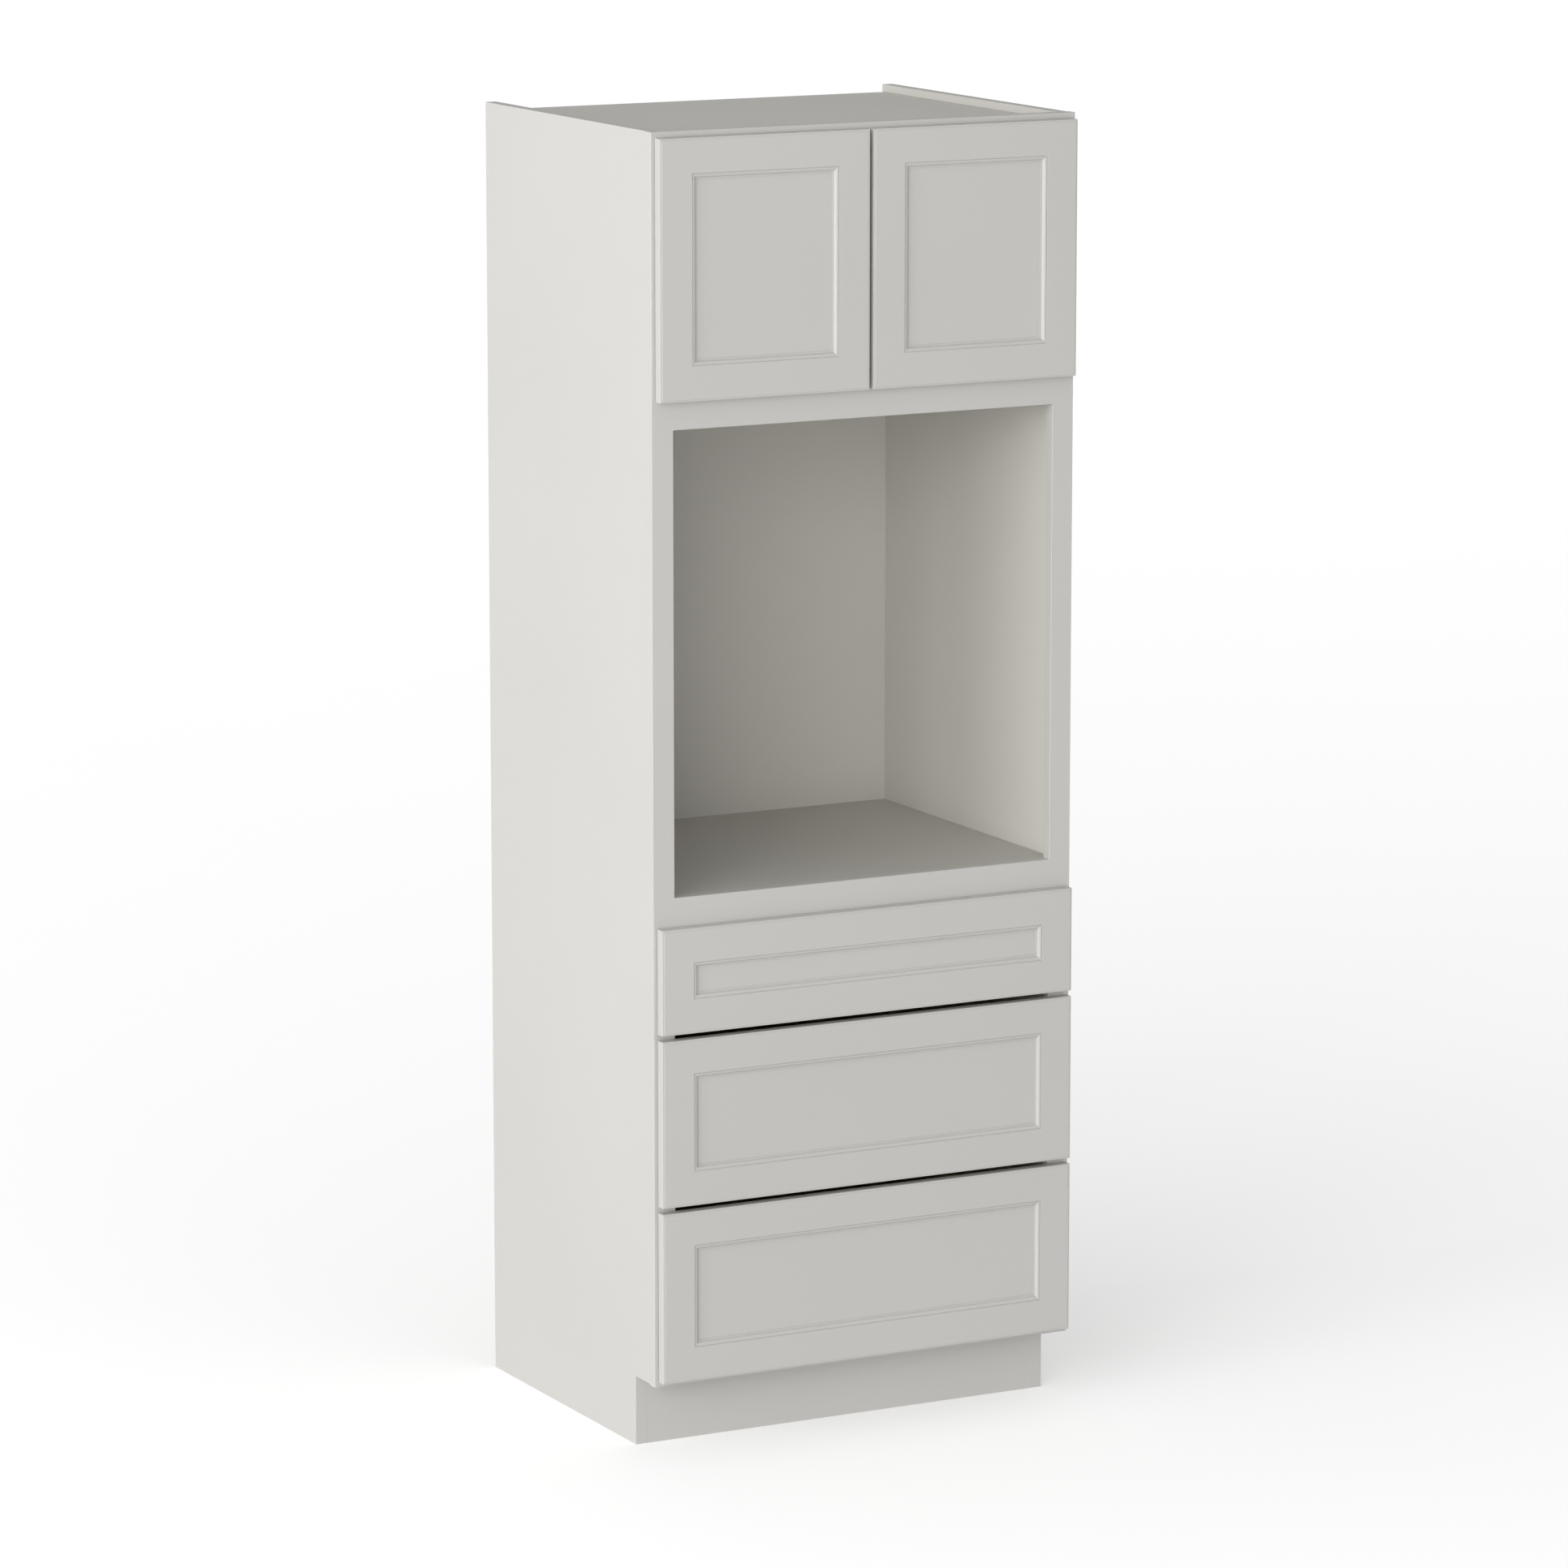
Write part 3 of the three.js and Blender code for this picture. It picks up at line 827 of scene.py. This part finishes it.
OUTER_PROFILE = [
    (BACK_EASE, THICKNESS),
    (0, THICKNESS - BACK_EASE),
    (0, STEP_DEPTH + ARRIS),
    (ARRIS, STEP_DEPTH),
    (STEP_WIDTH, STEP_DEPTH),
    (STEP_WIDTH, ARRIS),
    (STEP_WIDTH + ARRIS, 0),
]
OVOLO = [
    (
        FLAT + ARRIS + QUIRK_WIDTH + OVOLO_WIDTH * math.sin(math.pi / 2 * k / OVOLO_STEPS),
        OVOLO_TOP + (OVOLO_BOTTOM - OVOLO_TOP) * (1 - math.cos(math.pi / 2 * k / OVOLO_STEPS)),
    )
    for k in range(OVOLO_STEPS + 1)
]
INNER_PROFILE = [
    (FLAT, 0),
    (FLAT + ARRIS, ARRIS),
    (FLAT + ARRIS, QUIRK_DEPTH),
    (FLAT + ARRIS + QUIRK_WIDTH, QUIRK_DEPTH),
    *OVOLO,
    (MEMBER - ARRIS, OVOLO_BOTTOM),
    (MEMBER, OVOLO_BOTTOM + ARRIS),
    (MEMBER, GROOVE_FRONT),
    (GROOVE_EDGE, GROOVE_FRONT),
    (GROOVE_EDGE, GROOVE_BACK),
    (MEMBER, GROOVE_BACK),
    (MEMBER, THICKNESS),
]


def front_member(place, length, is_stile):
    """One member of a framed front. Stiles hold the corners; all moulded edges meet in mitres.

    place(u, t, d) gives the point u across from the outer edge, t along and d behind the face.
    """
    bm = bmesh.new()
    edge = OUTER_PROFILE[-1][0]
    back = OUTER_PROFILE[0][0]

    def face(points):
        add_face(bm, [place(*point) for point in points])

    def flat(points, depth):
        face([(u, t, depth) for u, t in points])

    def strips(profile, from_t, to_t):
        for (u1, d1), (u2, d2) in zip(profile, profile[1:]):
            face([(u1, from_t(u1), d1), (u1, to_t(u1), d1), (u2, to_t(u2), d2), (u2, from_t(u2), d2)])

    mitre_start, mitre_end = (lambda u: u), (lambda u: length - u)
    joint_start, joint_end = (lambda u: FLAT), (lambda u: length - FLAT)
    strips(INNER_PROFILE, mitre_start, mitre_end)
    inner_back = [(FLAT, length - FLAT), (MEMBER, length - MEMBER), (MEMBER, MEMBER), (FLAT, FLAT)]
    if is_stile:
        strips(OUTER_PROFILE, mitre_start, mitre_end)
        near_end = [(edge, edge), (FLAT, edge), (FLAT, FLAT)]
        far_end = [(u, length - t) for u, t in reversed(near_end)]
        flat(near_end + far_end, 0)
        outer_back = [(back, back), (back, length - back), (FLAT, length - back)]
        flat([*outer_back, *inner_back, (FLAT, back)], THICKNESS)
    else:
        strips(OUTER_PROFILE, joint_start, joint_end)
        flat([(edge, FLAT), (edge, length - FLAT), (FLAT, length - FLAT), (FLAT, FLAT)], 0)
        flat([(back, FLAT), (back, length - FLAT), *inner_back], THICKNESS)
    for at_end in (mitre_start, mitre_end):
        face([(u, at_end(u), d) for u, d in INNER_PROFILE] + [(FLAT, at_end(FLAT), THICKNESS)])
        if is_stile:
            for (u1, d1), (u2, d2) in zip(OUTER_PROFILE, OUTER_PROFILE[1:]):
                t1, t2 = at_end(u1), at_end(u2)
                face([(u1, t1, d1), (FLAT, t1, d1), (FLAT, t2, d2), (u2, t2, d2)])
            joint = [(FLAT, at_end(u), d) for u, d in OUTER_PROFILE]
        else:
            joint = [(u, at_end(FLAT), d) for u, d in OUTER_PROFILE]
        face([*joint, (FLAT, at_end(FLAT), 0), (FLAT, at_end(FLAT), THICKNESS)])
    return bm


def cup_bore(centre):
    """A cutter for the bore of a hinge cup in the back of a door."""
    around, behind = CUP_PLAY
    return bore(CUP_RADIUS + around, CUP_DEPTH + behind, centre, (0, -1, 0), 48)


def framed_front(prefix, body, stile_names):
    """The four moulded members and the panel of a door or drawer front."""
    left, right = (f"{prefix}_{name}" for name in stile_names)
    low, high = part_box(left)[0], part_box(right)[1]
    width, height = high.x - low.x, high.z - low.z
    members = {
        left: (lambda u, t, d: (low.x + u, FRONT_FACE + d, low.z + t), height, True),
        right: (lambda u, t, d: (high.x - u, FRONT_FACE + d, low.z + t), height, True),
        f"{prefix}_rail_bottom": (lambda u, t, d: (low.x + t, FRONT_FACE + d, low.z + u), width, False),
        f"{prefix}_rail_top": (lambda u, t, d: (low.x + t, FRONT_FACE + d, high.z - u), width, False),
    }
    for node, (place, length, is_stile) in members.items():
        bm = front_member(place, length, is_stile)
        if node.endswith("stile_hinge"):
            side = body.split("_")[1]
            bores = [cup_bore(hinge_centre(side, level)) for level in LEVELS]
            bm = carved(bm, joined(*bores))
        add_piece(f"{node}_moulded", bm, front_paint, body, [node])
    add_board(f"{prefix}_panel", body, front_paint, ease=PANEL_EASE)


# ---- hinges ----
LEVELS = ("lower", "upper")
CUP_DEPTH = FRONT_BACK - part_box("hinge_cup_left_lower")[0].y


def hinge_centre(side, level):
    """Middle of the cup, whose rim is the far end of its node from the wing."""
    low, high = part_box(f"hinge_cup_{side}_{level}")
    x = low.x + CUP_RIM if side == "left" else high.x - CUP_RIM
    return Vector((x, FRONT_BACK, (low.z + high.z) / 2))


def hinge_cup(node, body, sign, centre):
    """The cup in its bore, its screwed wing, and the seat that holds the arm."""
    inner = CUP_RADIUS - CUP_WALL
    inside = CUP_WALL - CUP_DEPTH
    fillet_width, fillet_height = CUP_FILLET
    profile = [
        (0, -CUP_DEPTH),
        (CUP_RADIUS - CUP_ROUND, -CUP_DEPTH),
        (CUP_RADIUS - CUP_ROUND_MIDDLE, CUP_ROUND_MIDDLE - CUP_DEPTH),
        (CUP_RADIUS, CUP_ROUND - CUP_DEPTH),
        (CUP_RADIUS, CUP_LIFT),
        (CUP_RIM, CUP_LIFT),
        (CUP_RIM, WING_STEEL - RIM_EASE),
        (CUP_RIM - RIM_EASE, WING_STEEL),
        (inner + RIM_EASE, WING_STEEL),
        (inner, WING_STEEL - RIM_EASE),
        (inner, inside + fillet_height),
        (inner - fillet_width, inside),
        (0, inside),
    ]
    cup = lathe(profile, centre, (0, 1, 0), 56)

    def on_door(u, v, w):
        return (centre.x - sign * u, FRONT_BACK + w, centre.z + v)

    wing_outline = rounded((WING_ROOT, -WING_HALF), (WING_REACH, WING_HALF), PLATE_CORNER)
    wing = prism(wing_outline, on_door, CONTACT, WING_STEEL)
    near, far = SEAT_SPAN
    seat_outline = rounded((near, -SEAT_HALF), (far, SEAT_HALF), SEAT_CORNER)
    seat = prism(seat_outline, on_door, inside + CONTACT, inside + SEAT_STEEL)
    add_piece(f"{node}_pressed", joined(cup, wing, seat), nickel, body, [node])
    across, along = WING_SCREW
    spots = [on_door(across, v, WING_STEEL) for v in (-along, along)]
    add_screws(f"{node}_screws", spots, (0, 1, 0), body, scale=0.6)


def hinge_plate(node, sign, middle_z):
    """The plate on the inner edge of the stile, the arm's base on it, and their screws."""
    low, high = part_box(node)

    def on_stile(u, v, w):
        return (sign * (OPENING_HALF - w), u, v)

    outline = rounded((low.y, low.z), (high.y, high.z), PLATE_CORNER)
    plate = prism(outline, on_stile, PLATE_STEEL, CONTACT)
    from_front, from_back = ARM_BASE_INSET
    near = on_stile(low.y + from_front, middle_z - ARM_BASE_HALF, ARM_BASE)
    far = on_stile(high.y - from_back, middle_z + ARM_BASE_HALF, PLATE_STEEL - LAP)
    arm_base = block(near, far, ARM_BASE_EASE, 3)
    add_piece(f"{node}_formed", joined(plate, arm_base), nickel, "carcass", [node])
    middle_y = (low.y + high.y) / 2
    spots = [on_stile(middle_y, middle_z + v, PLATE_STEEL) for v in (-PLATE_SCREW, PLATE_SCREW)]
    spots.append(on_stile(middle_y + ARM_SCREW, middle_z, ARM_BASE))
    add_screws(f"{node}_screws", spots, (-sign, 0, 0), "carcass", scale=0.75)


def hinge_arm(side, sign, level, middle_z):
    """The bent arm from the plate into the cup. It rides on no body."""
    edge = OPENING_HALF
    plate_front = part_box(f"hinge_plate_{side}_{level}")[0].y
    path = [(edge + u, plate_front + v) for u, v in ARM_ON_PLATE]
    path += [(edge + u, FRONT_BACK + v) for u, v in ARM_INTO_CUP]
    curve = [catmull(path, k / ARM_STEPS) for k in range(ARM_STEPS * (len(path) - 1) + 1)]

    def across(u, v, w):
        return (sign * u, v, middle_z + w)

    arm = prism(strip(curve, ARM_STEEL), across, -ARM_WIDTH / 2, ARM_WIDTH / 2)
    piece = add_piece(f"hinge_arm_{side}_{level}", arm, nickel, None)
    across(*path[1], 0)
    across(*path[4], 0)
    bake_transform(piece)


def hinge(side, sign, level):
    centre = hinge_centre(side, level)
    hinge_cup(f"hinge_cup_{side}_{level}", f"door_{side}", sign, centre)
    hinge_plate(f"hinge_plate_{side}_{level}", sign, centre.z)
    hinge_arm(side, sign, level, centre.z)


for side, sign in SIDES:
    names = ("stile_hinge", "stile_meeting")
    framed_front(f"door_{side}", f"door_{side}", names if sign < 0 else names[::-1])
    for level in LEVELS:
        hinge(side, sign, level)
for drawer in DRAWERS:
    framed_front(f"{drawer}_front", drawer, ("stile_left", "stile_right"))


# ---- bumpers ----
def add_bumpers(name, places, body):
    """Clear domes that keep a front off the face frame."""
    height = FRAME_FRONT - FRONT_BACK - CONTACT
    rise = height - BUMPER_RIM
    profile = [(0, 0), (BUMPER_RADIUS, 0), (BUMPER_RADIUS, BUMPER_RIM)]
    for a in map(math.radians, BUMPER_ARC):
        profile.append((BUMPER_RADIUS * math.cos(a), BUMPER_RIM + rise * math.sin(a)))
    profile.append((0, height))
    domes = [lathe(profile, (x, FRONT_BACK, z), (0, 1, 0), 24) for x, z in places]
    add_piece(name, joined(*domes), clear_bumper, body)


for side, sign in SIDES:
    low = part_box(f"door_{side}_rail_bottom")[0]
    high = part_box(f"door_{side}_rail_top")[1]
    heights = (low.z + DOOR_BUMPER_LEVELS[0], high.z - DOOR_BUMPER_LEVELS[1])
    corners = [(sign * DOOR_BUMPER_X, z) for z in heights]
    add_bumpers(f"door_{side}_bumpers", corners, f"door_{side}")
for drawer in DRAWERS:
    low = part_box(f"{drawer}_front_stile_left")[0]
    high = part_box(f"{drawer}_front_stile_right")[1]
    across, up = DRAWER_BUMPER
    heights = (low.z + up, high.z - up)
    corners = [(x, z) for x in (low.x + across, high.x - across) for z in heights]
    add_bumpers(f"{drawer}_bumpers", corners, drawer)


# ---- drawer boxes ----
def tails(low_z, high_z):
    """(root low, end low, end high, root high) of each tail up the height of a box."""
    count = max(2, round((high_z - low_z) / TAIL_PITCH))
    pitch = (high_z - low_z) / count
    middles = [low_z + pitch * (k + 0.5) for k in range(count)]
    root, end = pitch * TAIL_BASE / 2, pitch * TAIL_END / 2
    return [(m - root, m - end, m + end, m + root) for m in middles]


def tailed_side(x_inner, x_outer, y_front, y_back, low_z, high_z):
    """A side board with a row of dovetails on each end."""
    root = y_front + BOX_WALL
    front = [(root, low_z)]
    for root_low, end_low, end_high, root_high in tails(low_z, high_z):
        front += [(root, root_low), (y_front, end_low), (y_front, end_high), (root, root_high)]
    front.append((root, high_z))
    back = [(y_front + y_back - y, z) for y, z in reversed(front)]
    return prism(front + back, lambda u, v, w: (w, u, v), x_inner, x_outer)


def pinned_end(half_inner, half_outer, y_end, y_inside, low_z, high_z):
    """A front or back board whose pins fill the spaces between the sides' tails."""
    bm = bmesh.new()
    at_end, at_root = [low_z], [low_z]
    for root_low, end_low, end_high, root_high in tails(low_z, high_z):
        at_end += [end_low, end_high]
        at_root += [root_low, root_high]
    at_end.append(high_z)
    at_root.append(high_z)
    for y, heights in ((y_end, at_end), (y_inside, at_root)):
        left = [(-half_inner, y, z) for z in heights]
        right = [(half_inner, y, z) for z in reversed(heights)]
        add_face(bm, left + right)
    for z in (low_z, high_z):
        near = [(-half_inner, y_end, z), (half_inner, y_end, z)]
        far = [(half_inner, y_inside, z), (-half_inner, y_inside, z)]
        add_face(bm, near + far)
    for sign in (-1, 1):
        inner, outer = sign * half_inner, sign * half_outer
        for k in range(len(at_end) - 1):
            outline = [
                (y_end, at_end[k]),
                (y_end, at_end[k + 1]),
                (y_inside, at_root[k + 1]),
                (y_inside, at_root[k]),
            ]
            if k % 2:  # a tail's place
                add_face(bm, [(inner, y, z) for y, z in outline])
                continue
            add_face(bm, [(outer, y, z) for y, z in outline])
            for (y1, z1), (y2, z2) in zip(outline, outline[1:] + outline[:1]):
                add_face(bm, [(inner, y1, z1), (inner, y2, z2), (outer, y2, z2), (outer, y1, z1)])
    return bm


def add_box_board(name, board, cutters, material, drawer):
    """One wall of a drawer box, grooved for the bottom, its joints a little eased."""
    cut = carved(board, joined(*cutters))
    piece = add_piece(name, cut, material, drawer, [f"{drawer}_box"], smooth=False)
    soften(piece, JOINT_EASE, 1)


def drawer_box(drawer):
    """Four dovetailed walls round a bottom in a groove, and the screws that hold the front."""
    node = f"{drawer}_box"
    low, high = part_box(node)
    bottom_low, bottom_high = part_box(f"{drawer}_bottom")
    outer, inner = high.x, high.x - BOX_WALL
    play = Vector((BOTTOM_PLAY,) * 3)

    def groove():
        return block(bottom_low - play, bottom_high + play)

    for side, sign in SIDES:
        x_from, x_to = sorted((sign * inner, sign * outer))
        board = tailed_side(x_from, x_to, low.y, high.y, low.z, high.z)
        add_box_board(f"{node}_side_{side}", board, [groove()], birch_deep, drawer)
    front = pinned_end(inner, outer, low.y, low.y + BOX_WALL, low.z, high.z)
    add_box_board(f"{node}_front", front, [groove()], birch_wide, drawer)

    under = bottom_low.z - NOTCH_TOP
    cutters = [groove()]
    for _, sign in SIDES:  # notches that let the runners' hoods through
        near = (sign * (inner - NOTCH_WIDTH), high.y - BOX_WALL - CUT_PAST, low.z - CUT_PAST)
        cutters.append(block(near, (sign * (inner + NOTCH_LAP), high.y + CUT_PAST, under)))
    back = pinned_end(inner, outer, high.y, high.y - BOX_WALL, low.z, high.z)
    add_box_board(f"{node}_back", back, cutters, birch_wide, drawer)

    board = block(bottom_low, bottom_high, BOTTOM_EASE)
    add_piece(f"{drawer}_bottom_board", board, birch_wide, drawer, [f"{drawer}_bottom"], smooth=False)
    levels = (low.z + FRONT_SCREW_LEVELS[0], high.z - FRONT_SCREW_LEVELS[1])
    spots = [(x, low.y + BOX_WALL, z) for x in (-FRONT_SCREW_X, FRONT_SCREW_X) for z in levels]
    add_screws(f"{drawer}_front_screws", spots, (0, 1, 0), drawer, zinc, scale=1.2)


def release_clip(name, drawer, place, base, crown, wall):
    """The catch behind the box's front wall, and the thumb lever under it."""
    beneath, behind = CLIP_PLAY
    front = wall + behind
    near, far = CLIP
    clip_low = place(near, base + CLIP_UNDER, front)
    clip = block(clip_low, place(far, crown - beneath, front + CLIP_LENGTH), CLIP_EASE, 3)
    ends = [place(u, base + v, front + w) for u, v, w in (THUMB_LOW, THUMB_HIGH)]
    add_piece(name, joined(clip, block(*ends, THUMB_EASE, 3)), grey_plastic, drawer)


def rear_socket(name, place, base, shoulder, track_end):
    """The plastic socket that carries the runner's back end, open to the front."""
    near, far = SOCKET
    low, high = base - SOCKET_UNDER, shoulder + SOCKET_OVER
    front = track_end - SOCKET_REACH
    shell = block(place(near, low, front), place(far, high, BACK_FACE - CONTACT), SOCKET_EASE, 3)
    mouth = block(
        place(near + SOCKET_WALL, low + SOCKET_SOLE, front - CUT_PAST),
        place(far - SOCKET_WALL, high - SOCKET_WALL, track_end + SOCKET_MOUTH),
    )
    add_piece(name, carved(shell, mouth), grey_plastic, "carcass")


def drawer_runner(drawer, side, sign):
    """Three nested members under one side of a drawer. On the real runner the middle one travels half as
    far; here it rides on no body.
    """
    node = f"{drawer}_runner_{side}"
    low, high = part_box(node)
    box_low, box_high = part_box(f"{drawer}_box")
    wall_face = box_high.x - BOX_WALL - RUNNER_PLAY
    base = low.z + RUNNER_STEEL / 2
    shoulder = base + SHOULDER
    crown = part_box(f"{drawer}_bottom")[0].z - MIDDLE_STEEL / 2 - CONTACT

    def place(u, v, w):
        return (sign * (wall_face - u), w, v)

    def folded(outline, steel, start, end):
        return prism(strip(outline, steel), place, start, end)

    foot = wall_face - max(abs(low.x), abs(high.x))
    guide, edge = GUIDE_AT, TRACK_WIDTH - RUNNER_STEEL / 2
    floor_path = [(foot, base), (guide, base), (edge, base), (edge, base + TRACK_LIP)]
    guide_path = [(guide, base + RUNNER_STEEL / 2 + CONTACT), (guide, base + TRACK_LIP)]
    track = [folded(path, RUNNER_STEEL, low.y, high.y) for path in (floor_path, guide_path)]
    add_piece(f"{node}_track", joined(*track), zinc, "carcass", [node], smooth=False)

    near, far = CHANNEL
    lower = base + CHANNEL_FOOT
    path = [(near, lower), (near, shoulder), (far, shoulder), (far, lower)]
    channel = folded(path, MIDDLE_STEEL, low.y + CHANNEL_ENDS[0], high.y - CHANNEL_ENDS[1])
    middle = add_piece(f"{node}_middle", channel, zinc, None, smooth=False)
    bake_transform(middle)

    near, far = HOOD
    lower = base + HOOD_FOOT
    path = [(near, lower), (near, crown), (far, crown), (far, lower)]
    hood = folded(path, MIDDLE_STEEL, low.y + HOOD_ENDS[0], box_high.y - HOOD_ENDS[1])
    add_piece(f"{node}_carrier", hood, zinc, drawer, smooth=False)

    release_clip(f"{node}_release_clip", drawer, place, base, crown, box_low.y + BOX_WALL)
    rear_socket(f"{node}_rear_socket", place, base, shoulder, high.y)


for drawer in DRAWERS:
    drawer_box(drawer)
    for side, sign in SIDES:
        drawer_runner(drawer, side, sign)

# ---- floor, background and light ----
FLOOR_RADIUS = 90.0
FLOOR_DROP = 0.2 * MM  # under the cabinet, so that their faces don't meet
PAPER = (0.86, 0.86, 0.86)
GLOW_NEAR = 0.30
GLOW_FAR = 0.60
GLOW_KEPT = 0.84  # what is left of the difference after each metre
SKY_ABOVE = 0.475
SKY_HORIZON = 1.0
SKY_BELOW = 0.565  # stands for the light that the paper throws up
SKY_STOPS = (  # 0 is straight down and 0.5 the horizon
    (0.42, (SKY_BELOW,) * 3),
    (0.48, (SKY_HORIZON,) * 3),
    (0.52, (SKY_HORIZON,) * 3),
    (0.58, (SKY_ABOVE,) * 3),
)
BOX_SIZE = 7.0
AIM = Vector((0, 0, 1.1))

floor_mesh = bmesh.new()
bmesh.ops.create_circle(floor_mesh, cap_ends=True, radius=FLOOR_RADIUS, segments=96)
floor = as_object(floor_mesh, "studio_floor")
floor.location.z = -FLOOR_DROP
floor.data.materials.append(studio_paper("studio_paper", PAPER, GLOW_NEAR, GLOW_FAR, GLOW_KEPT))
floor.visible_diffuse = False  # the sky below the horizon does its work on the cabinet


def soft_box(name, place, power):
    """A large square lamp that faces the middle of the cabinet."""
    light = bpy.data.lights.new(name, "AREA")
    light.shape = "SQUARE"
    light.size = BOX_SIZE
    light.energy = power
    lamp = bpy.data.objects.new(name, light)
    lamp.location = place
    lamp.rotation_euler = (AIM - Vector(place)).to_track_quat("-Z", "Y").to_euler()
    scene.collection.objects.link(lamp)


def studio_sky():
    """White round the horizon, darker overhead and underneath."""
    world = bpy.data.worlds.new("studio_sky")
    world.use_nodes = True
    tree = world.node_tree
    direction = add_node(tree, "TexCoord").outputs["Generated"]
    up = add_node(tree, "SeparateXYZ", Vector=direction).outputs["Z"]
    height = spread(tree, up, 0, 1, (-1, 1))
    tree.links.new(ramp(tree, height, SKY_STOPS), tree.nodes["Background"].inputs["Color"])
    return world


soft_box("left", (-12.0, -2.0, 2.5), 670)
soft_box("left_front", (-8.5, -9.0, 2.8), 805)
soft_box("left_high", (-9.0, -5.0, 8.0), 165)
scene.world = studio_sky()
scene.view_settings.view_transform = "Standard"
